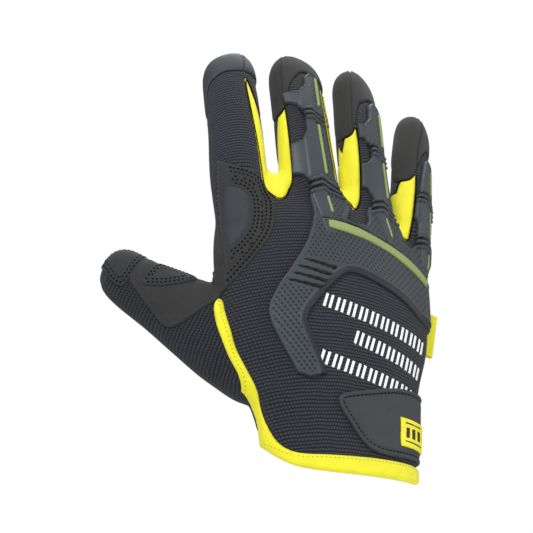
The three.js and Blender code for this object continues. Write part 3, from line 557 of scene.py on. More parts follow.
# Side strips between the fingers: share along, then the strip's edges as turns round the finger
# from the middle of its back, in degrees.
SIDE_STRIPS = [
    ("index", "middle",
     ((0.14, 76, 140), (0.2, 68, 131), (0.3, 62, 116), (0.45, 56, 100), (0.6, 46, 77),
      (0.71, 40, 53), (0.76, 42, 45)),
     ((0.14, -140, -76), (0.22, -133, -68), (0.3, -116, -62), (0.42, -106, -58), (0.56, -94, -58),
      (0.64, -78, -62), (0.69, -70, -66))),
    ("middle", "ring",
     ((0.14, 76, 140), (0.22, 68, 131), (0.3, 58, 116), (0.42, 46, 104), (0.6, 41, 84),
      (0.74, 41, 60), (0.81, 42, 46)),
     ((0.14, -140, -72), (0.22, -128, -62), (0.35, -116, -51), (0.5, -94, -49), (0.58, -78, -52),
      (0.64, -64, -58))),
    ("ring", "little",
     ((0.14, 76, 140), (0.2, 70, 131), (0.3, 62, 116), (0.5, 54, 94), (0.6, 50, 72),
      (0.66, 50, 56)),
     ((0.1, -136, -70), (0.17, -126, -62), (0.28, -116, -52), (0.41, -106, -46), (0.5, -90, -46),
      (0.56, -72, -52))),
]
# Tongues of side cloth below each gap, as seen from the back.
WEB_TONGUES = [
    rounded_outline([(-46.6, 163), (-47.9, 152.5), (-47.7, 143), (-46, 137), (-42.6, 132.6),
                     (-38.4, 131.8), (-35, 138), (-33.2, 147), (-32.6, 163)], 2),
    rounded_outline([(-5.4, 166), (-5.2, 150), (-3, 139), (0.6, 136), (5, 137), (7.2, 143),
                     (7.7, 158), (8.4, 170)], 2),
    rounded_outline([(30.6, 160), (31.4, 145), (33.6, 135), (36.6, 129.6), (40, 132), (43.4, 144),
                     (47.8, 162)], 2),
]


def strip_outline(name, rows):
    limb = LIMBS[name]
    low = [(round_length(math.radians(a), limb["width"] / 2), s * limb["length"])
           for s, a, _ in rows]
    high = [(round_length(math.radians(b), limb["width"] / 2), s * limb["length"])
            for s, _, b in rows]
    return rounded_outline(low + high[::-1], 2)


def side_field(which):
    lower, upper, low_rows, high_rows = SIDE_STRIPS[which]
    outlines = {lower: strip_outline(lower, low_rows), upper: strip_outline(upper, high_rows)}

    def field(points):
        best = np.minimum(inside(points[:, 0], points[:, 2], WEB_TONGUES[which]),
                          8 - points[:, 1])
        for name, outline in outlines.items():
            at = on_limb(name, points)
            size = at["half_width"] / (LIMBS[name]["width"] / 2)
            own = inside(at["around"] / size, at["along"], outline)
            best = np.maximum(best, near_limb(at, own))
        return best
    return field


cap_fields = {name: cap_field(name) for name in FINGERS}
side_fields = [side_field(which) for which in range(3)]


def hem_level(points):
    """How far above the bound lower edge of the cuff a point is."""
    turn = math.radians(7)
    depth = points[:, 1] * math.cos(turn) - points[:, 0] * math.sin(turn)
    level = eased((-40, -14, 10, 40), (-6, -5.6, 8, 12), depth)
    corner = np.array([(-72, -43), (-72, 12), (-44.6, 10.4), (-42, 5), (-38.4, 0.2), (-33.2, -4.5),
                       (-24, -5.8), (-24, -43)])
    return np.minimum(points[:, 2] - level, -inside(points[:, 0], points[:, 2], corner))


def knit_field(points):
    field = np.minimum(back_field(points), hem_level(points))
    for other in (*cap_fields.values(), *side_fields):
        field = np.minimum(field, -other(points))
    return field


def rib_map(points):
    """Pattern map of the knit: across the ribs, and along the hand with the ribs arching up."""
    x, z = points[:, 0], points[:, 2]
    across = x.copy()
    climb = z + 0.0022 * (x + 8) ** 2
    for name in FINGERS:
        at = on_limb(name, points)
        root = LIMBS[name]["root"]
        part = np.clip((at["along"] - 12) / 26, 0, 1)
        part = part * part * (3 - 2 * part) * (np.abs(at["off"]) < 7)
        finger_climb = root[2] + at["along"] + 0.012 * at["around"] ** 2
        across = across * (1 - part) + (at["around"] + root[0]) * part
        climb = climb * (1 - part) + finger_climb * part
    return np.stack((across, climb), 1)


def wire(tree, kind, links=(), **settings):
    """Adds a node, with its settings and with what each of its inputs is or comes from."""
    made = tree.nodes.new(kind)
    for key, value in settings.items():
        setattr(made, key, value)
    for socket, source in links:
        if isinstance(source, bpy.types.NodeSocket):
            tree.links.new(source, made.inputs[socket])
        else:
            made.inputs[socket].default_value = source
    return made


def maths(tree, operation, *sources):
    return wire(tree, "ShaderNodeMath", list(enumerate(sources)), operation=operation).outputs[0]


def blend_colour(tree, factor, first, second):
    mix = wire(tree, "ShaderNodeMix", [(0, factor), (6, first), (7, second)], data_type="RGBA")
    return mix.outputs[2]


def new_group(name, inputs, outputs):
    """A node group with named number or vector inputs and number or colour outputs."""
    group = bpy.data.node_groups.new(name, "ShaderNodeTree")
    for label, kind, value in inputs:
        socket = group.interface.new_socket(label, in_out="INPUT", socket_type=kind)
        if value is not None:
            socket.default_value = value
    for label, kind in outputs:
        group.interface.new_socket(label, in_out="OUTPUT", socket_type=kind)
    return group, group.nodes.new("NodeGroupInput"), group.nodes.new("NodeGroupOutput")


def rib_knit_group():
    """Rows of rib knit: each row is a rounded rib crossed by small slanting loops."""
    group, given, made = new_group("rib_knit", [
        ("Map", "NodeSocketVector", None), ("Row", "NodeSocketFloat", 1.75),
        ("Loop", "NodeSocketFloat", 1.4)], [
        ("Height", "NodeSocketFloat"), ("Shade", "NodeSocketFloat")])
    parts = wire(group, "ShaderNodeSeparateXYZ", [(0, given.outputs["Map"])])
    wobble = wire(group, "ShaderNodeTexNoise", [("Vector", given.outputs["Map"]), ("Scale", 0.12),
                                               ("Detail", 1.0)], noise_dimensions="2D")
    shift = maths(group, "MULTIPLY", maths(group, "SUBTRACT", wobble.outputs["Fac"], 0.5), 1.1)
    climb = maths(group, "ADD", parts.outputs["Y"], shift)
    row = maths(group, "DIVIDE", climb, given.outputs["Row"])
    rib = maths(group, "ABSOLUTE", maths(group, "SINE", maths(group, "MULTIPLY", row, math.pi)))
    odd = maths(group, "MULTIPLY", maths(group, "FLOOR", row), 0.5)
    step = maths(group, "ADD", maths(group, "DIVIDE", parts.outputs["X"], given.outputs["Loop"]), odd)
    loop = maths(group, "ABSOLUTE", maths(group, "SINE", maths(group, "MULTIPLY", step, math.pi)))
    high = maths(group, "MULTIPLY", maths(group, "POWER", rib, 0.7),
                 maths(group, "ADD", maths(group, "MULTIPLY", loop, 0.5), 0.5))
    fuzz = wire(group, "ShaderNodeTexNoise", [("Vector", given.outputs["Map"]), ("Scale", 2.6),
                                             ("Detail", 3.0)], noise_dimensions="2D")
    rough = maths(group, "MULTIPLY", maths(group, "SUBTRACT", fuzz.outputs["Fac"], 0.5), 0.5)
    group.links.new(maths(group, "ADD", high, rough), made.inputs["Height"])
    # Shade follows the rib height. The rib tops are painted lighter, as painted light, and the gaps
    # between the ribs darker, as painted shade. The fuzz adds the yarn's own uneven tone.
    shade = maths(group, "ADD", maths(group, "POWER", high, 1.6), rough)
    group.links.new(shade, made.inputs["Shade"])
    return group


RIB_KNIT = rib_knit_group()


def start_material(name):
    material = bpy.data.materials.new(name)
    material.use_nodes = True
    tree = material.node_tree
    return material, tree, tree.nodes["Principled BSDF"]


def dress(tree, shader, colour, rough, height, depth, sheen=0.0):
    """Puts colour, roughness and bump on the shader. Depth is the relief in metres."""
    for socket, value in (("Base Color", colour), ("Roughness", rough)):
        if isinstance(value, bpy.types.NodeSocket):
            tree.links.new(value, shader.inputs[socket])
        else:
            shader.inputs[socket].default_value = value
    if height is not None:
        bump = wire(tree, "ShaderNodeBump", [("Height", height), ("Distance", depth)])
        tree.links.new(bump.outputs["Normal"], shader.inputs["Normal"])
    shader.inputs["Sheen Weight"].default_value = sheen
    shader.inputs["Sheen Roughness"].default_value = 0.5


KNIT_LOOP = 1.4
KNIT_RELIEF = 0.0006


def knit_material(name, top, valley_shade, row):
    """Knit whose ribs are lit on top and dark between, one rib to each row."""
    material, tree, shader = start_material(name)
    weave = wire(tree, "ShaderNodeUVMap", uv_map="weave")
    knit = wire(tree, "ShaderNodeGroup", node_tree=RIB_KNIT)
    tree.links.new(weave.outputs["UV"], knit.inputs["Map"])
    knit.inputs["Row"].default_value = row
    knit.inputs["Loop"].default_value = KNIT_LOOP
    # The near-black valley colour is painted shade between the ribs, and the top colour is painted
    # light on them.
    colour = blend_colour(tree, knit.outputs["Shade"], (*valley_shade, 1), (*top, 1))
    dress(tree, shader, colour, 0.88, knit.outputs["Height"], KNIT_RELIEF, sheen=0.06)
    shader.inputs["Specular IOR Level"].default_value = 0.3
    return material


# Each knit's second colour is the painted shade in its rib valleys.
NAVY_KNIT = knit_material("navy_rib_knit", (0.042, 0.047, 0.062), (0.0006, 0.0006, 0.0012), 1.75)


def seam_roll(field_value, deep=0.75, wide=1.3):
    """Cloth rolls down into its seam."""
    return -deep * np.exp(-(np.clip(field_value, 0, None) / wide) ** 2)


CLOTH = 1.3
knit_bm = cut_out(knit_field)
mark_rows(knit_bm, knit_field, (0.5, 1.2))
knit_points = points_of(knit_bm)
knit_weave = rib_map(knit_points)
lift(knit_bm, seam_roll(knit_field(knit_points)))
finished(knit_bm, "back_knit", ["back_panel", *(f"{name}_back" for name in FINGERS)],
         NAVY_KNIT, knit_weave, wall=CLOTH)

# Thumb knit
# The back of the thumb is a second piece of the same knit, with its ribs set across the thumb so that
# they fan out from its root. Leather closes in on it from the tip and from the upper side.

# share along, how far it reaches towards the little-finger side as a share of the half width
THUMB_KNIT = [(0.05, 1.5), (0.5, 0.9), (0.62, 0.3), (0.86, 0.1), (0.97, 0.1)]


def thumb_field(points):
    at = on_limb("thumb", points)
    limit = np.interp(at["share"], *zip(*THUMB_KNIT)) * LIMBS["thumb"]["width"] / 2
    across = at["across"] * LIMBS["thumb"]["width"] / 2
    own = np.minimum(limit - across, at["out"] * LIMBS["thumb"]["depth"] / 2)
    own = np.minimum(own, np.minimum(at["along"] - 6, 120 - at["along"]))
    own = np.minimum(own, 14 - at["off"])
    return np.minimum(np.minimum(own, hem_level(points)), -back_field(points))


def thumb_rib_map(points):
    at = on_limb("thumb", points)
    tilt = 0.42 * (1 - np.clip(at["along"] / 90, 0, 1))
    return np.stack((at["around"], at["along"] * 1.02 - tilt * at["around"]), 1)


THUMB_NAVY = knit_material("thumb_rib_knit", (0.034, 0.038, 0.05), (0.001, 0.001, 0.002), 1.95)
thumb_bm = cut_out(thumb_field)
mark_rows(thumb_bm, thumb_field, (0.5, 1.2))
thumb_points = points_of(thumb_bm)
lift(thumb_bm, seam_roll(thumb_field(thumb_points)))
finished(thumb_bm, "thumb_knit", ["thumb_back"], THUMB_NAVY,
         thumb_rib_map(thumb_points), wall=CLOTH)

# Leather palm
# The palm side of the hand, fingers and thumb is dark napped synthetic leather, cut to meet the knit
# and the side strips in rolled seams.


def nap_group():
    """Fine pebble of napped leather with softly brushed lighter patches."""
    group, given, made = new_group("leather_nap", [
        ("Place", "NodeSocketVector", None), ("Fine", "NodeSocketFloat", 2200)], [
        ("Height", "NodeSocketFloat"), ("Shade", "NodeSocketFloat")])
    grain = wire(group, "ShaderNodeTexVoronoi", [("Vector", given.outputs["Place"]),
                                                ("Scale", given.outputs["Fine"])])
    nap = wire(group, "ShaderNodeTexNoise", [("Vector", given.outputs["Place"]),
                                            ("Scale", 900), ("Detail", 4.0)])
    brushed = wire(group, "ShaderNodeTexNoise", [("Vector", given.outputs["Place"]),
                                                ("Scale", 55), ("Detail", 3.0)])
    height = maths(group, "ADD", maths(group, "MULTIPLY", grain.outputs["Distance"], 0.6),
                   maths(group, "MULTIPLY", nap.outputs["Fac"], 0.6))
    group.links.new(height, made.inputs["Height"])
    shade = maths(group, "ADD", maths(group, "MULTIPLY", nap.outputs["Fac"], 0.55),
                  maths(group, "MULTIPLY", brushed.outputs["Fac"], 0.6))
    group.links.new(shade, made.inputs["Shade"])
    return group


LEATHER_NAP = nap_group()


def leather_material(name, light, dark, rough=0.82, depth=0.00012, fine=2200, sheen=0.1):
    material, tree, shader = start_material(name)
    place = wire(tree, "ShaderNodeTexCoord")
    nap = wire(tree, "ShaderNodeGroup", node_tree=LEATHER_NAP)
    tree.links.new(place.outputs["Object"], nap.inputs["Place"])
    nap.inputs["Fine"].default_value = fine
    colour = blend_colour(tree, nap.outputs["Shade"], (*dark, 1), (*light, 1))
    dress(tree, shader, colour, rough, nap.outputs["Height"], depth, sheen)
    shader.inputs["Specular IOR Level"].default_value = 0.35
    return material


PALM_LEATHER = leather_material("palm_leather", (0.03, 0.0295, 0.028), (0.009, 0.009, 0.0085))


def palm_field(points):
    field = np.minimum(-back_field(points), hem_level(points))
    field = np.minimum(field, -thumb_field(points))
    for other in (*cap_fields.values(), *side_fields):
        field = np.minimum(field, -other(points))
    return field


palm_bm = cut_out(palm_field)
mark_rows(palm_bm, palm_field, (0.5, 1.2))
lift(palm_bm, seam_roll(palm_field(points_of(palm_bm))))
finished(palm_bm, "palm_leather",
         ["palm_panel", "thumb_palm", *(f"{name}_palm" for name in FINGERS)],
         PALM_LEATHER, wall=CLOTH)

# Side strips
# Bright yellow stretch cloth lines the sides of the fingers and turns round the bottom of each gap.
# It is smooth, a little wrinkled by the stitching, and each edge is sewn in with black thread.

BLACK_THREAD, thread_tree, thread_shader = start_material("black_thread")
dress(thread_tree, thread_shader, (0.002, 0.002, 0.0025, 1), 0.9, None, 0)
thread_shader.inputs["Specular IOR Level"].default_value = 0.08


def stretch_material(name, light, dark):
    material, tree, shader = start_material(name)
    place = wire(tree, "ShaderNodeTexCoord")
    pucker = wire(tree, "ShaderNodeTexNoise", [("Vector", place.outputs["Object"]),
                                              ("Scale", 130), ("Detail", 2.0)])
    weave = wire(tree, "ShaderNodeTexNoise", [("Vector", place.outputs["Object"]),
                                             ("Scale", 2600), ("Detail", 1.0)])
    height = maths(tree, "ADD", maths(tree, "MULTIPLY", pucker.outputs["Fac"], 1.6),
                   maths(tree, "MULTIPLY", weave.outputs["Fac"], 0.3))
    # The pucker noise that raises the bump also sets the colour, lighter on the crests and darker in
    # the hollows: painted light and shade on the puckers.
    colour = blend_colour(tree, pucker.outputs["Fac"], (*dark, 1), (*light, 1))
    dress(tree, shader, colour, 0.7, height, 0.0006, sheen=0.1)
    return material


# Its darker colour is the painted shade in the pucker hollows.
YELLOW_STRETCH = stretch_material("yellow_stretch", (0.81, 0.77, 0.012), (0.7, 0.64, 0.008))

# Stitches are left off where the cloth turns away past the sides of the hand.
SIDEWAYS = -0.12
# A stitch lies flatter than it is wide.
STITCH_FLAT = 0.62
SKIN_TREE = BVHTree.FromBMesh(skin)


def stitch_line(bm, runs, height, pitch, length, thick, skew=0.0):
    """Adds short raised stitches along runs of points that lie on the skin."""
    for run in runs:
        gaps = np.linalg.norm(np.diff(run, axis=0), axis=1)
        travel = np.concatenate(([0], np.cumsum(gaps)))
        for i in range(int(travel[-1] / pitch)):
            at = (i + 0.5) * pitch
            ends = [np.array([np.interp(at + side * length / 2, travel, run[:, k])
                              for k in range(3)]) for side in (-1, 1)]
            middle = Vector((ends[0] + ends[1]) / 2)
            ahead = Vector(ends[1] - ends[0]).normalized()
            _, normal, _, _ = SKIN_TREE.find_nearest(middle)
            if normal.y > SIDEWAYS:
                continue
            side = normal.cross(ahead).normalized()
            ahead = (ahead + side * skew).normalized()
            side = normal.cross(ahead).normalized()
            turn = Matrix((ahead, side, normal)).transposed().to_4x4()
            stretch = Matrix.Diagonal((length / 2, thick, thick * STITCH_FLAT, 1))
            lay = Matrix.Translation(middle + normal * height) @ turn @ stretch
            bmesh.ops.create_uvsphere(bm, u_segments=6, v_segments=4, radius=1, matrix=lay)


def stitches_along(field, name, levels, height, slot, material=BLACK_THREAD, limit=None, **stitch):
    """Rows of stitches that run inside an outline at the given distances from its edge."""
    thread = bmesh.new()
    guide = skin.copy()
    value = field(points_of(guide))
    bmesh.ops.delete(guide, geom=[v for v, x in zip(guide.verts, value) if abs(x) > 6],
                     context="VERTS")
    for level in levels:
        runs = scribe(guide, field, level)
        if limit is not None:
            runs = [part for run in runs for part in kept_parts(run, limit(run) > 0)]
        stitch_line(thread, runs, height, **stitch)
    guide.free()
    return finished(thread, name, [], material)


def kept_parts(run, keep):
    """The stretches of a run whose points are kept."""
    cuts = np.flatnonzero(np.diff(keep.astype(int))) + 1
    return [part for part, on in zip(np.split(run, cuts), np.split(keep, cuts))
            if on[0] and len(part) > 3]


for which, (lower, upper, _, _) in enumerate(SIDE_STRIPS):
    own_field = side_fields[which]

    def strip_field(points, own=own_field, before=side_fields[:which]):
        field = own(points)
        for other in (*cap_fields.values(), *before):
            field = np.minimum(field, -other(points))
        return field

    strip_bm = cut_out(strip_field)
    mark_rows(strip_bm, strip_field, (0.4, 1.0))
    strip_at = np.clip(strip_field(points_of(strip_bm)), 0, None)
    lift(strip_bm, seam_roll(strip_at, 0.6, 1.0) + 0.35 * (1 - np.exp(-strip_at / 1.2)))
    node = f"{lower}_{upper}_fourchette"
    finished(strip_bm, f"{lower}_{upper}_side_strip", [node],
             YELLOW_STRETCH, wall=CLOTH)
    stitches_along(strip_field, f"{lower}_{upper}_edge_thread", (-0.1,), 0.05, "yellow_stretch",
                   limit=lambda run: 3 - run[:, 1], pitch=1.25, length=1.5, thick=0.42, skew=0.5)

# Fingertip coverings
# The index fingertip is wrapped in smooth bluish-grey rubber-coated cloth, the others in charcoal
# suede. Each is shaped by one seam, sewn inside out. Their lower edges lap over the knit.

CAP_SUEDE = leather_material("cap_suede", (0.032, 0.0315, 0.0305), (0.0085, 0.0085, 0.0085), 0.9,
                             0.00018, 2300, 0.06)
INDEX_COATING = leather_material("index_coating", (0.033, 0.04, 0.049), (0.014, 0.018, 0.023), 0.62,
                                 0.00006, 2600, 0.0)
# share along, then the seam's turn round the finger from the middle of its back, in degrees
CAP_SEAM = {
    "index": ((0.77, 39), (0.86, 42), (0.95, 52)),
    "middle": ((0.7, -61), (0.9, -59)),
    "ring": ((0.6, -62), (0.76, -59), (0.92, -56)),
    "little": ((0.66, -46), (0.84, -31)),
}


def seam_offset(name, points):
    at = on_limb(name, points)
    turn = np.radians(np.interp(at["share"], *zip(*CAP_SEAM[name])))
    return at["around"] - round_length(turn, at["half_width"])


for name in FINGERS:
    cap_bm = cut_out(cap_fields[name], fine=1)
    mark_rows(cap_bm, cap_fields[name], (0.4, 1.0))
    mark_rows(cap_bm, lambda points: seam_offset(name, points), (-0.5, 0, 0.5))
    cap_points = points_of(cap_bm)
    cap_in = np.clip(cap_fields[name](cap_points), 0, None)
    rise = -0.5 + 1.0 * (1 - np.exp(-cap_in / 0.55))
    away = np.abs(seam_offset(name, cap_points))
    seam = 0.22 * np.exp(-((away - 1.2) / 0.6) ** 2) - 0.85 * np.exp(-(away / 0.4) ** 2)
    lift(cap_bm, rise + seam)
    finished(cap_bm, f"{name}_fingertip",
             [f"{name}_tip_cap"], INDEX_COATING if name == "index" else CAP_SUEDE, wall=1.5)

# Suede saddle
# A panel of dark brown-grey suede is sewn over the fork between index finger and thumb, where tools
# rub. It stands a cloth's thickness proud, with two rows of stitching just inside its edge.

SADDLE_HAND = rounded_outline([
    (-71.5, 156.6), (-64.2, 150.1), (-56.8, 147.5), (-49.2, 144), (-46.2, 135.5), (-43.2, 130.5),
    (-43.6, 120.9), (-45.4, 110.9), (-50.7, 101.2), (-57, 92), (-62.2, 84.8), (-66.1, 79.3),
    (-69.8, 75.8), (-73.3, 72.8), (-84, 76), (-84, 96), (-74, 116), (-76, 140), (-80, 158),
], 2)
# share along, left and right edge as shares of the half width
SADDLE_THUMB = [(0.44, 1.5, 1.62), (0.47, 1.3, 1.7), (0.52, 0.57, 1.75), (0.54, 0.17, 1.75),
                (0.57, -0.45, 1.7), (0.6, -0.86, 1.6), (0.64, -0.95, 1.6), (0.73, -0.68, 1.6),
                (0.84, -0.3, 1.6), (0.87, -0.1, 1.6)]
THUMB_TIP = [(0.855, -0.27, 1.3), (0.865, -0.5, 1.3), (0.9, -0.54, 1.3), (0.94, -0.44, 1.3),
             (0.985, -0.2, 1.3)]
THUMB_SIDE = [(0.63, 0.9, 1.02), (0.67, 0.5, 1.06), (0.72, 0.15, 1.0), (0.78, -0.12, 0.86),
              (0.81, -0.16, 0.74)]


def thumb_zone(points, rows, rounds=2):
    """Distance into a zone of the thumb, given as rows of along, left and right."""
    limb = LIMBS["thumb"]
    at = on_limb("thumb", points)
    half = limb["width"] / 2
    corners = [(left * half, share * limb["length"]) for share, left, _ in rows]
    corners += [(right * half, share * limb["length"]) for share, _, right in rows[::-1]]
    own = inside(at["across"] * half, at["along"], rounded_outline(corners, rounds))
    own = np.minimum(own, at["out"] * limb["depth"] / 2)
    return np.minimum(own, 22 - at["off"])


def left_of_fork(points):
    """Distance to the left of the line that the panel's lower edge follows across the fork."""
    line = 0.601 * (points[:, 2] - 101.2) - 0.799 * (points[:, 0] + 50.7)
    return line + 2.4 * np.clip((82 - points[:, 2]) / 6, 0, 1)


def saddle_field(points):
    hand = np.minimum(inside(points[:, 0], points[:, 2], SADDLE_HAND), 3 - points[:, 1])
    thumb = np.minimum(thumb_zone(points, SADDLE_THUMB), left_of_fork(points))
    return np.maximum(hand, thumb)


SADDLE_SUEDE = leather_material("saddle_suede", (0.037, 0.0375, 0.039), (0.01, 0.01, 0.011), 0.9,
                                0.00026, 1500, 0.06)
PATCH_SUEDE = leather_material("patch_suede", (0.03, 0.0345, 0.038), (0.009, 0.011, 0.0125), 0.85,
                               0.00016, 2000, 0.06)


def overlay(field, name, nodes, material, profile, weave=None, wall=1.2, fine=0, relief=None,
            marks=None):
    """A piece laid over the cloth: its profile gives its height at each distance from its edge."""
    bm = cut_out(field, fine=fine)
    reach, rise = zip(*profile)
    mark_rows(bm, field, reach[1:])
    points = points_of(bm)
    height = np.interp(field(points), reach, rise)
    if relief is not None:
        height = height + relief(points)
    lift(bm, height)
    return finished(bm, name, nodes, material,
                    None if weave is None else weave(points), wall=wall,
                    marks=None if marks is None else marks(points))


SADDLE_PROFILE = [(0, -0.4), (0.2, 0.55), (0.6, 0.95), (1.2, 1.05), (2.2, 0.86), (3.4, 1.15),
                  (6, 1.2)]
SIDE_SEAM = [(93, -66.4), (96.4, -65.9), (116.1, -67.2), (131.8, -68.7), (148.4, -69.4), (160, -69.8)]


def saddle_relief(points):
    """A seam runs up the thumb side of the panel, from the fork to the index finger."""
    away = points[:, 0] - np.interp(points[:, 2], *zip(*SIDE_SEAM))
    fade = np.clip((points[:, 2] - 92) / 3, 0, 1)
    return fade * (-1.3 * np.exp(-(away / 0.6) ** 2) + 0.3 * np.exp(-((away - 1.4) / 0.8) ** 2))


overlay(saddle_field, "fork_saddle", ["saddle_panel"], SADDLE_SUEDE, SADDLE_PROFILE,
        fine=1, relief=saddle_relief)


def faces_out(run):
    """Stitches show on the back of the hand alone, clear of the side seam."""
    return np.minimum(-1.5 - run[:, 1], run[:, 0] + 65)


stitches_along(saddle_field, "saddle_stitches", (1.9, 4.0), 1.15, "cap_suede", limit=faces_out,
               pitch=2.2, length=1.35, thick=0.52)

# Padded insert
# A D-shaped pad of smooth bluish-grey rubber sits in the saddle over the knuckle of the index finger.
# Foam under it lifts its middle, and two rows of stitches round it hold it down.

PAD_OUTLINE = rounded_outline([
    (-67.4, 134.5), (-66.2, 138), (-60.6, 136.8), (-56.3, 133), (-54.8, 126), (-54.9, 115.6),
    (-57.8, 108.9), (-63.8, 101.2), (-65.2, 103), (-66.2, 112), (-67.1, 123.3),
], 2)


def pad_field(points):
    return np.minimum(inside(points[:, 0], points[:, 2], PAD_OUTLINE), 4 - points[:, 1])


PAD_RUBBER = leather_material("pad_rubber", (0.032, 0.039, 0.046), (0.014, 0.018, 0.022), 0.72,
                              0.0001, 2400, 0.0)
pad_piece = overlay(pad_field, "knuckle_pad", ["saddle_pad"], PAD_RUBBER,
                    [(0, 0.2), (0.25, 0.55), (0.6, 1.2), (1.2, 1.75), (2.5, 2.0), (7, 2.1)])
stitches_along(pad_field, "pad_stitches", (-1.5, -3.4, -5.3), 1.25, "cap_suede",
               limit=lambda run: run[:, 0] + 64, pitch=2.3, length=1.35, thick=0.52)

# Thumb patches
# Two more pieces of suede guard the thumb: one wraps its tip and one lies along its upper side.

SUEDE_PATCH = [(0, -0.4), (0.2, 0.6), (0.6, 1.05), (1.2, 1.2), (2.2, 1.05), (3.4, 1.3)]


def tip_field(points):
    return np.minimum(thumb_zone(points, THUMB_TIP + [(1.1, 0.2, 1.3)], 1), 9)


def side_patch_field(points):
    return thumb_zone(points, THUMB_SIDE)


overlay(tip_field, "thumb_tip_suede", ["thumb_tip_patch"], PATCH_SUEDE, SUEDE_PATCH)
overlay(side_patch_field, "thumb_side_suede", ["thumb_side_patch"], PATCH_SUEDE,
        [(reach, rise + 1.1) for reach, rise in SUEDE_PATCH])
stitches_along(tip_field, "thumb_tip_stitches", (1.7, 3.6), 1.25, "cap_suede",
               pitch=2.1, length=1.3, thick=0.48)
stitches_along(side_patch_field, "thumb_side_stitches", (1.6, 3.3), 2.35, "cap_suede",
               pitch=2.1, length=1.3, thick=0.48)

# Knuckle guard
# One soft rubber moulding covers the knuckles, with an arm up the back of three fingers. Its skin is
# dimpled except on the spines, round the slots and on the slope down to its opening. Its cut edge
# has a thin raised rim. Rows of folded ribs let each arm bend at its joints.

GUARD_HULL = rounded_outline([
    (-27.4, 112), (-28.7, 107.3), (-36.4, 92.9), (-42.2, 84.2), (-45.2, 77.4), (-47.9, 71.2),
    (-47.2, 63.9), (-41.9, 52.5), (-38.6, 46.3), (-32.6, 35.3), (-16.6, 39.2), (80, 30), (80, 121),
    (48, 124.7), (43.9, 125), (37.9, 118.8), (29.9, 120.9), (24, 127.6), (16.8, 137.8),
    (9, 136.3), (7.8, 123.3), (0.1, 122.4), (-7, 123.7), (-10.3, 133.1), (-12, 140.7), (-24, 139.2),
    (-23.2, 129.1), (-25.8, 116.4),
], 1)
GUARD_OPENING = rounded_outline([
    (-18.6, 30), (-19.6, 39.7), (-22.8, 48), (-29.3, 63.7), (-28.9, 67.9), (-23.6, 75.7),
    (-17.2, 84), (-8.2, 92.9), (-2.8, 93.7), (4.6, 92.4), (14.4, 89.6), (26.2, 85.5), (34.4, 80.9),
    (40.2, 77.7), (49.2, 77.5), (90, 72), (90, 10), (-18, 10),
], 1)
# share along, left and right edge as shares of the half width
ARM_EDGES = {
    "middle": [(0.0, -0.62, 0.8), (0.17, -0.6, 0.74), (0.265, -0.44, 0.52), (0.3, -1.2, 0.44),
               (0.4, -1.2, 0.42), (0.445, -0.36, 0.4), (0.615, -0.34, 0.4), (0.642, -1.2, 0.42),
               (0.674, -1.2, 0.42), (0.705, -0.26, 0.42), (0.83, -0.16, 0.4)],
    "ring": [(0.0, -0.8, 0.8), (0.17, -0.62, 0.74), (0.26, -0.5, 0.58), (0.293, -1.2, 0.5),
             (0.362, -1.2, 0.48), (0.4, -0.42, 0.5), (0.505, -0.38, 0.52), (0.53, -1.2, 0.56),
             (0.566, -1.2, 0.56), (0.6, -0.36, 0.56), (0.76, -0.24, 0.54)],
    "little": [(0.0, -0.74, 0.8), (0.15, -0.7, 0.76), (0.24, -0.7, 0.66), (0.26, -1.2, 0.6),
               (0.34, -1.2, 0.6), (0.365, -0.68, 0.6), (0.5, -0.58, 0.5), (0.66, -0.4, 0.46)],
}
# where the smooth spine runs, its sides, and the middles of the two sets of ribs
ARM_SPINES = {
    "middle": dict(span=(0.02, 0.82), sides=(-0.46, 0.02), ribs=(0.237, 0.578)),
    "ring": dict(span=(0.02, 0.75), sides=(-0.5, 0.1), ribs=(0.202, 0.468)),
    "little": dict(span=(0.0, 0.65), sides=(-0.62, 0.0), ribs=(0.132, 0.39)),
}
# The arms end this far out from the middle plane of the finger.
ARM_REACH = 4.5
RIB_PITCH = 3.3
RIB_COUNT = 3
GUARD_SLOTS = [((-31.6, 96.6), (-12.6, 93.9)), ((-34.6, 92.6), (-15.2, 89.8)),
               ((-37.2, 88.6), (-17.8, 86)), ((-39.8, 84.8), (-20.6, 82.4))]
GUARD_TOP = 2.1


def arm_field(name, at):
    half = LIMBS[name]["width"] / 2
    length = LIMBS[name]["length"]
    corners = [(left * half, share * length) for share, left, _ in ARM_EDGES[name]]
    corners += [(right * half, share * length) for share, _, right in ARM_EDGES[name][::-1]]
    own = inside(at["across"] * half, at["along"], rounded_outline(corners, 1))
    return np.minimum(near_limb(at, own), at["out"] * half - ARM_REACH)


def guard_edge(points):
    """Distance in from the moulding's outer edge. The side strips show beside the arms."""
    hull = np.minimum(inside(points[:, 0], points[:, 2], GUARD_HULL), 1.5 - points[:, 1])
    for name in ARM_EDGES:
        hull = np.maximum(hull, arm_field(name, on_limb(name, points)))
    for strip in side_fields:
        hull = np.minimum(hull, -0.5 - strip(points))
    return hull


def guard_opening(points):
    """Distance out from the opening over the back of the hand."""
    return -inside(points[:, 0], points[:, 2], GUARD_OPENING)


def guard_field(points):
    return np.minimum(guard_edge(points), guard_opening(points))


def slot_field(points):
    best = np.full(len(points), -50.0)
    for (ax, az), (bx, bz) in GUARD_SLOTS:
        shape = [(ax, az + 0.25), (ax + 2.5, az + 0.75), (bx, bz + 1.05), (bx - 2.2, bz - 0.85),
                 (ax + 2, az - 0.45)]
        best = np.maximum(best, inside(points[:, 0], points[:, 2], np.array(shape)))
    return best


# The line of the groove above the bar, from left to right.
GROOVE = [(-19.5, 121.6), (-13, 121.9), (0, 120.6), (15, 116.9), (30, 112.8), (40, 108.8),
          (48, 106.4), (56, 104)]


def groove_offset(points):
    return points[:, 2] - np.interp(points[:, 0], *zip(*GROOVE))


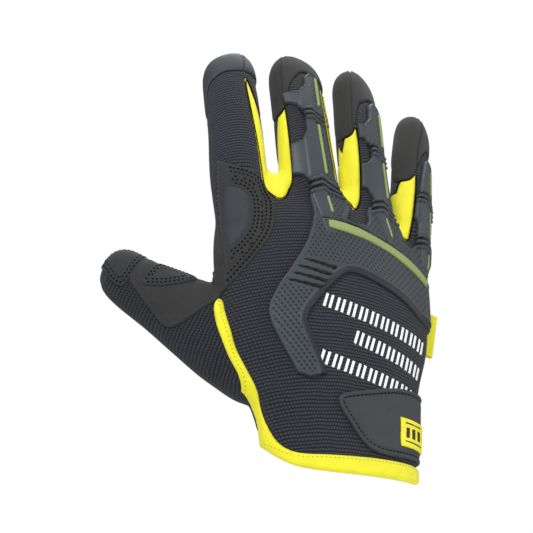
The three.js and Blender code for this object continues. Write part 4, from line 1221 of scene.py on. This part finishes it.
def groove_fade(points):
    on_back = (guard_edge(points) > 0.6) & (points[:, 1] < 0)
    return np.clip((points[:, 0] + 21) / 2, 0, 1) * on_back


def groove_height(points):
    away = groove_offset(points)
    lip = 0.35 * np.exp(-((away + 1.3) / 0.7) ** 2)
    return groove_fade(points) * (lip - 1.2 * np.exp(-(away / 0.55) ** 2))


def wing_field(points):
    """The parts of the arms to the left of their spines."""
    best = np.full(len(points), -50.0)
    for name, spine in ARM_SPINES.items():
        at = on_limb(name, points)
        half = LIMBS[name]["width"] / 2
        left = (spine["sides"][0] - at["across"]) * half
        best = np.maximum(best, near_limb(at, np.minimum(left, at["along"] - 36)))
    return best


def spine_field(points):
    best = np.full(len(points), -50.0)
    for name, spine in ARM_SPINES.items():
        at = on_limb(name, points)
        half = LIMBS[name]["width"] / 2
        (low, high), (left, right) = spine["span"], spine["sides"]
        corners = [(left * half - 1, low * 130), (left * half, high * 130),
                   (right * half, high * 130), (right * half + 1, low * 130)]
        own = inside(at["across"] * half, at["share"] * 130, rounded_outline(corners, 1))
        best = np.maximum(best, np.minimum(near_limb(at, own), at["out"] * half))
    return best


def rib_wave(points):
    """Height of the folded ribs, and how far into a set of ribs each point is."""
    height = np.zeros(len(points))
    into = np.full(len(points), -50.0)
    for name, spine in ARM_SPINES.items():
        at = on_limb(name, points)
        half = LIMBS[name]["width"] / 2
        peak = (spine["sides"][0] + 0.35) * half
        bent = at["along"] + 0.42 * np.abs(at["across"] * half - peak)
        for middle in spine["ribs"]:
            run = bent - middle * LIMBS[name]["length"] - 1.2
            reach = RIB_COUNT * RIB_PITCH / 2
            zone = np.minimum(reach - np.abs(run), arm_field(name, at) + 0.6)
            on = np.clip(zone / 0.6, 0, 1)
            fold = np.abs(np.cos(math.pi * run / RIB_PITCH)) ** 0.8
            height += on * (2.6 * fold - 1.7)
            into = np.maximum(into, zone)
    return height, into


def guard_relief(points):
    opening = guard_opening(points)
    height = np.interp(opening, [0, 0.3, 3.2, 3.5, 3.9, 4.6], [-1.7, -1.0, -0.25, 0.25, 0.3, 0])
    height = height + np.interp(slot_field(points), [0, 0.3], [0, -1.7])
    height = height + groove_height(points)
    height = height + np.interp(spine_field(points), [0, 0.5, 1.2], [0, 0.45, 0.6])
    return height + rib_wave(points)[0]


def guard_marks(points):
    ribs = rib_wave(points)
    smooth = np.maximum.reduce([spine_field(points), 4.2 - guard_opening(points), wing_field(points),
                                slot_field(points) + 1.6, 1.7 - guard_edge(points), ribs[1]])
    smooth = np.maximum(smooth, 1.0 - np.abs(groove_offset(points)))
    # The groove joins the slots mark, which the material paints near black as painted shade in these
    # recesses.
    groove = np.where(groove_fade(points) > 0.5, 0.5 - np.abs(groove_offset(points)), -1.0)
    return {"smooth": smooth, "slots": np.maximum(slot_field(points), groove),
            # slope: the band on the slope down into the opening, painted near black as painted shade.
            "slope": 3.3 - guard_opening(points),
            # folds: the low gaps between the folded ribs, painted near black as painted shade.
            "folds": np.where(ribs[1] > 0.2, 0.3 - ribs[0], -1.0)}


def guard_map(points):
    """Dimples lie in rows that follow the bar, and run along the arms."""
    x, z = points[:, 0], points[:, 2]
    rows = z + 0.0042 * (x + 14) ** 2
    return np.stack((x, rows), 1)


MARK_EDGE = 0.08


def above(tree, value):
    """1 where a distance mark is positive, with a thin soft edge."""
    ramp = wire(tree, "ShaderNodeMapRange", [("Value", value), ("From Min", -MARK_EDGE),
                                            ("From Max", MARK_EDGE)])
    return ramp.outputs["Result"]


def dimple_group():
    """Staggered rows of small drop-shaped dimples: 1 inside a dimple."""
    group, given, made = new_group("dimples", [
        ("Map", "NodeSocketVector", None), ("Across", "NodeSocketFloat", 2.6),
        ("Row", "NodeSocketFloat", 1.9), ("Radius", "NodeSocketFloat", 0.5)], [
        ("Hole", "NodeSocketFloat")])
    parts = wire(group, "ShaderNodeSeparateXYZ", [(0, given.outputs["Map"])])
    row = maths(group, "DIVIDE", parts.outputs["Y"], given.outputs["Row"])
    odd = maths(group, "MULTIPLY", maths(group, "PINGPONG", maths(group, "FLOOR", row), 1.0), 0.5)
    step = maths(group, "ADD", maths(group, "DIVIDE", parts.outputs["X"], given.outputs["Across"]),
                 odd)
    u = maths(group, "MULTIPLY", maths(group, "SUBTRACT", maths(group, "FRACT", step), 0.5),
              given.outputs["Across"])
    v = maths(group, "MULTIPLY", maths(group, "SUBTRACT", maths(group, "FRACT", row), 0.5),
              given.outputs["Row"])
    lean = maths(group, "ADD", u, maths(group, "MULTIPLY", v, 0.35))
    away = maths(group, "SQRT", maths(group, "ADD", maths(group, "POWER", lean, 2.0), maths(
        group, "POWER", maths(group, "MULTIPLY", v, 0.86), 2.0)))
    hole = wire(group, "ShaderNodeMapRange", [("Value", away), ("From Min",
                maths(group, "ADD", given.outputs["Radius"], 0.12)), ("From Max",
                maths(group, "SUBTRACT", given.outputs["Radius"], 0.12))])
    group.links.new(hole.outputs["Result"], made.inputs["Hole"])
    return group


DIMPLES = dimple_group()


def guard_material():
    material, tree, shader = start_material("guard_rubber")
    weave = wire(tree, "ShaderNodeUVMap", uv_map="weave")
    place = wire(tree, "ShaderNodeTexCoord")
    dots = wire(tree, "ShaderNodeGroup", node_tree=DIMPLES)
    tree.links.new(weave.outputs["UV"], dots.inputs["Map"])
    mark = {name: above(tree, wire(tree, "ShaderNodeAttribute", attribute_name=name).outputs["Fac"])
            for name in ("smooth", "slots", "slope", "folds")}
    hole = maths(tree, "MULTIPLY", dots.outputs["Hole"],
                 maths(tree, "SUBTRACT", 1.0, mark["smooth"]))
    grain = wire(tree, "ShaderNodeTexNoise", [("Vector", place.outputs["Object"]),
                                             ("Scale", 1800), ("Detail", 2.0)])
    wear = wire(tree, "ShaderNodeTexNoise", [("Vector", place.outputs["Object"]),
                                            ("Scale", 40), ("Detail", 4.0)])
    colour = blend_colour(tree, wear.outputs["Fac"], (0.029, 0.036, 0.042, 1),
                          (0.045, 0.055, 0.064, 1))
    # The slope down into the opening is painted near black: painted shade on the bevel.
    colour = blend_colour(tree, mark["slope"], colour, (0.01, 0.011, 0.016, 1))
    # Dimples, slots and the groove are painted near black: painted shade in these hollows of the
    # rubber.
    dark = maths(tree, "MAXIMUM", maths(tree, "MULTIPLY", hole, 0.9), mark["slots"])
    # The gaps between the folded ribs are painted near black as well: painted shade between the
    # folds.
    dark = maths(tree, "MAXIMUM", dark, maths(tree, "MULTIPLY", mark["folds"], 0.95))
    colour = blend_colour(tree, dark, colour, (0.004, 0.004, 0.005, 1))
    height = maths(tree, "ADD", maths(tree, "MULTIPLY", grain.outputs["Fac"], 0.08),
                   maths(tree, "MULTIPLY", hole, -1.0))
    dress(tree, shader, colour, 0.52, height, 0.0005)
    shader.inputs["Specular IOR Level"].default_value = 0.4
    return material


GUARD_RUBBER = guard_material()
GUARD_PROFILE = [(0, -0.4), (0.2, 1.3), (0.5, 2.1), (0.9, 2.45), (1.3, 2.1), (2, GUARD_TOP)]
overlay(guard_field, "guard_moulding", ["knuckle_guard"], GUARD_RUBBER,
        GUARD_PROFILE, guard_map, wall=1.8, fine=1, relief=guard_relief, marks=guard_marks)

# Knuckle bar and stripes
# Dull lime rubber is printed thickly on the guard: one long bar across the knuckles, and three
# stripes beside the spine of each arm.

BAR_OUTLINE = np.array([
    (-17.4, 121.1), (-8, 120.4), (0.5, 119), (15.2, 115), (29.8, 111.1), (41, 107.2), (48.8, 104.4),
    (46.8, 100), (32.2, 104.9), (19.2, 109.4), (5.8, 113), (-7.8, 115.2), (-17.2, 116.1),
])
# share along from and to, and the middle as a share of the half width
STRIPES = {
    "middle": [(0.64, 0.81, 0.24), (0.29, 0.53, 0.11), (0.11, 0.185, 0.02)],
    "ring": [(0.53, 0.72, 0.36), (0.26, 0.43, 0.22), (0.065, 0.155, -0.04)],
    "little": [(0.46, 0.61, 0.14), (0.19, 0.34, 0.06), (0.02, 0.095, 0.0)],
}
STRIPE_WIDTH = 1.65


def bar_field(points):
    return np.minimum(inside(points[:, 0], points[:, 2], BAR_OUTLINE), -points[:, 1])


def stripe_field(name, low, high, middle):
    half = LIMBS[name]["width"] / 2
    length = LIMBS[name]["length"]

    def field(points):
        at = on_limb(name, points)
        own = np.minimum(STRIPE_WIDTH / 2 - np.abs(at["across"] - middle) * half,
                         (high - low) * length / 2 - np.abs(at["along"] - (low + high) / 2 * length))
        return np.minimum(near_limb(at, own), at["out"] * half)
    return field


LIME_RUBBER = leather_material("lime_rubber", (0.28, 0.335, 0.12), (0.21, 0.255, 0.085), 0.7,
                               0.00003, 2600, 0.0)
PRINT_PROFILE = [(0, 1.4), (0.15, 2.7), (0.4, 2.95), (0.9, 3.0)]
overlay(bar_field, "lime_bar", ["knuckle_bar"], LIME_RUBBER, PRINT_PROFILE,
        fine=1)
for name, rows in STRIPES.items():
    for i, (low, high, middle) in enumerate(rows):
        overlay(stripe_field(name, low, high, middle), f"{name}_lime_{i + 1}",
                [f"{name}_stripe_{i + 1}"], LIME_RUBBER, PRINT_PROFILE[:3], fine=1)

# Back print
# White rubber ink is printed on the knit inside the guard's opening: three rows of slanted bars in
# pairs, sloping down towards the little finger.

# first and last place of a row's lower edge, its height and how many pairs of bars it has
PRINT_ROWS = [((-21.2, 73.4), (43, 59.6), 7.2, 10), ((-4.8, 56.4), (39, 45.2), 6.8, 7),
              ((-23.6, 44), (35, 31), 6.8, 9)]
BAR_SLANT = 2.2
BAR_WIDTH = 1.5
BAR_STEP = 2.9


def print_shapes():
    shapes = []
    for (ax, az), (bx, bz), tall, count in PRINT_ROWS:
        fall = (bz - az) / (bx - ax)
        for i in range(2 * count):
            x = ax + (bx - ax) * (i // 2) / count + BAR_STEP * (i % 2)
            z = az + fall * (x - ax)
            shapes.append([(x, z), (x + BAR_WIDTH, z + fall * BAR_WIDTH),
                           (x + BAR_WIDTH + BAR_SLANT, z + fall * BAR_WIDTH + tall),
                           (x + BAR_SLANT, z + tall)])
    return shapes


def bars_field(shapes):
    outlines = [np.array(shape, float) for shape in shapes]

    def field(points):
        best = np.full(len(points), -50.0)
        for outline in outlines:
            best = np.maximum(best, inside(points[:, 0], points[:, 2], outline))
        return np.minimum(best, -points[:, 1])
    return field


WHITE_INK = leather_material("white_ink", (0.86, 0.86, 0.86), (0.76, 0.76, 0.77), 0.55,
                             0.00003, 2600, 0.0)
overlay(bars_field(print_shapes()), "back_print", [], WHITE_INK,
        [(0, 0.02), (0.15, 0.25), (0.4, 0.3)], wall=0.4, fine=1)

# Closing strap
# A moulded rubber tab on a band round the wrist closes the cuff. The tab is dark and finely
# textured, with a raised rim and a row of stitches inside it.

STRAP_OUTLINE = rounded_outline([
    (-14, 27.5), (-12.2, 29.8), (-8.2, 31.2), (6.2, 34.3), (16.4, 36.7), (26.2, 38), (38, 38.4),
    (90, 36.3), (90, 4.3), (36, 3.6), (23.8, 2.9), (11.2, 2.4), (3.4, 4.1), (-1, 7.1), (-6.8, 14.4),
    (-12.2, 21.8), (-14, 25.6),
], 1)


def strap_field(points):
    return np.minimum(inside(points[:, 0], points[:, 2], STRAP_OUTLINE), 7 - points[:, 1])


STRAP_RUBBER = leather_material("strap_rubber", (0.042, 0.047, 0.052), (0.022, 0.0255, 0.029), 0.68,
                                0.00012, 1500, 0.0)
overlay(strap_field, "strap_tab", ["wrist_strap"], STRAP_RUBBER,
        [(0, -0.3), (0.2, 1.3), (0.6, 1.95), (1.2, 2.1), (1.9, 1.9), (2.3, 1.2), (2.7, 1.3),
         (3.4, 1.75), (5, 1.95)], wall=1.4, fine=1)
stitches_along(strap_field, "strap_stitches", (2.45,), 1.3, "strap_rubber",
               limit=lambda run: 38 - run[:, 0], pitch=2.3, length=1.7, thick=0.36)

# Strap tag
# A thin yellow rubber tag is stitched on the end of the strap. Plain black bars are printed on it.
# Two lie along its long edges and three stand between them.

TAG_OUTLINE = np.array([(20.4, 22.6), (38, 22.4), (38, 8.6), (20.4, 8.2)])


def tag_field(points):
    return np.minimum(inside(points[:, 0], points[:, 2], TAG_OUTLINE), 2 - points[:, 1])


TAG_YELLOW = leather_material("tag_yellow", (0.84, 0.76, 0.02), (0.76, 0.68, 0.015), 0.5,
                              0.00002, 2600, 0.0)
overlay(tag_field, "strap_tag", ["strap_label"], TAG_YELLOW,
        [(0, 1.6), (0.15, 2.5), (0.4, 2.75)], fine=1)
# corners of the plain bars on the tag
TAG_BARS = [
    [(22.8, 20.6), (34.6, 20.4), (34.6, 19.6), (22.8, 19.8)],
    [(22.8, 11.6), (34.6, 11.3), (34.6, 10.5), (22.8, 10.8)],
    [(23.4, 18.2), (25.8, 18.2), (25.8, 13.2), (23.4, 13.2)],
    [(27.4, 18.1), (29.8, 18.1), (29.8, 13.1), (27.4, 13.1)],
    [(31.4, 18), (33.8, 18), (33.8, 13), (31.4, 13)],
]
BLACK_INK = leather_material("black_ink", (0.012, 0.012, 0.012), (0.006, 0.006, 0.006), 0.5,
                             0.00002, 2600, 0.0)
overlay(bars_field(TAG_BARS), "tag_bars", [], BLACK_INK,
        [(0, 2.7), (0.12, 2.85)], wall=0.3, fine=1)

# Bound edge
# Bright yellow woven tape is folded over the edge of the knit along the thumb side and round the
# hem, and sewn through.

TAPE_OUTER = [
    (-69.8, 75.1), (-68.8, 65.3), (-66.1, 56), (-62.2, 48), (-54.6, 34.7), (-52.4, 30), (-52, 24),
    (-50, 16), (-48, 5), (-46, -4), (-40, -12), (-24, -14), (90, -14),
]
TAPE_INNER = [
    (90, 1.7), (1.8, 0.7), (-14.8, 0.3), (-29.4, 0), (-35.5, 1.9), (-39.6, 5.9), (-42.4, 11.7),
    (-46.2, 22.5), (-49, 30.3), (-52.4, 38.4), (-56.8, 46.1), (-60.4, 54.7), (-64, 67.6),
    (-65.6, 79),
]
PIPING_OUTLINE = rounded_outline(TAPE_OUTER + TAPE_INNER, 2)
KNIT_SIDE = np.array(TAPE_INNER + [(90, 79)])
TAPE_SEAM = 1.7


def from_inner_edge(points):
    return -inside(points[:, 0], points[:, 2], KNIT_SIDE)


def piping_field(points):
    low = np.clip((16 - points[:, 2]) / 14, 0, 1)
    side = np.where(points[:, 0] > 0, -5, 2.5 + 3 * low)
    field = np.minimum(inside(points[:, 0], points[:, 2], PIPING_OUTLINE), side - points[:, 1])
    return np.minimum(field, hem_level(points) + 1.4)


# The binding's darker colour is likewise the painted shade in its pucker hollows.
BINDING = stretch_material("yellow_binding", (0.82, 0.78, 0.012), (0.73, 0.67, 0.01))
YELLOW_THREAD, yellow_tree, yellow_shader = start_material("yellow_thread")
dress(yellow_tree, yellow_shader, (0.45, 0.38, 0.01, 1), 0.6, None, 0)
overlay(piping_field, "cuff_binding", ["cuff_piping"], BINDING,
        [(0, -0.6), (0.25, 0.5), (0.7, 1.05), (1.3, 1.35), (2.2, 1.5)], wall=1.8, fine=1)
stitches_along(from_inner_edge, "binding_stitches", (TAPE_SEAM,), 1.4, "yellow_binding",
               material=YELLOW_THREAD, limit=lambda run: piping_field(run) - 0.6, pitch=2.1,
               length=1.3, thick=0.3)

# Pull loop
# A short length of the same tape is folded in two and sewn into the side seam on the little-finger
# side, to pull the glove on by.

LOOP_TURN = math.radians(12)
LOOP_PLACE = (57, 4.4, 66.7)
LOOP_HEIGHT = 24
LOOP_LEG = 9
BEND_OUTSIDE = 1.65
BEND_INSIDE = 0.55
loop_bm = bmesh.new()
profile = [(-LOOP_LEG, -BEND_OUTSIDE), (0, -BEND_OUTSIDE)]
profile += [(BEND_OUTSIDE * math.sin(a), -BEND_OUTSIDE * math.cos(a))
            for a in np.linspace(0.3, math.pi - 0.3, 9)]
profile += [(0, BEND_OUTSIDE), (-LOOP_LEG, BEND_OUTSIDE), (-LOOP_LEG, BEND_INSIDE), (0, BEND_INSIDE)]
profile += [(BEND_INSIDE * math.sin(a), BEND_INSIDE * math.cos(a))
            for a in np.linspace(0.4, math.pi - 0.4, 5)]
profile += [(0, -BEND_INSIDE), (-LOOP_LEG, -BEND_INSIDE)]
ring = [loop_bm.verts.new((x, y, 0)) for x, y in profile]
face = loop_bm.faces.new(ring)
made = bmesh.ops.extrude_face_region(loop_bm, geom=[face])["geom"]
bmesh.ops.translate(loop_bm, vec=(0, 0, LOOP_HEIGHT),
                    verts=[v for v in made if isinstance(v, bmesh.types.BMVert)])
bmesh.ops.recalc_face_normals(loop_bm, faces=loop_bm.faces)
bmesh.ops.rotate(loop_bm, verts=loop_bm.verts, cent=(0, 0, 0),
                 matrix=Matrix.Rotation(LOOP_TURN, 3, "Y"))
bmesh.ops.translate(loop_bm, vec=LOOP_PLACE, verts=loop_bm.verts)
finished(loop_bm, "side_loop", ["pull_loop"], BINDING, sharp=35)
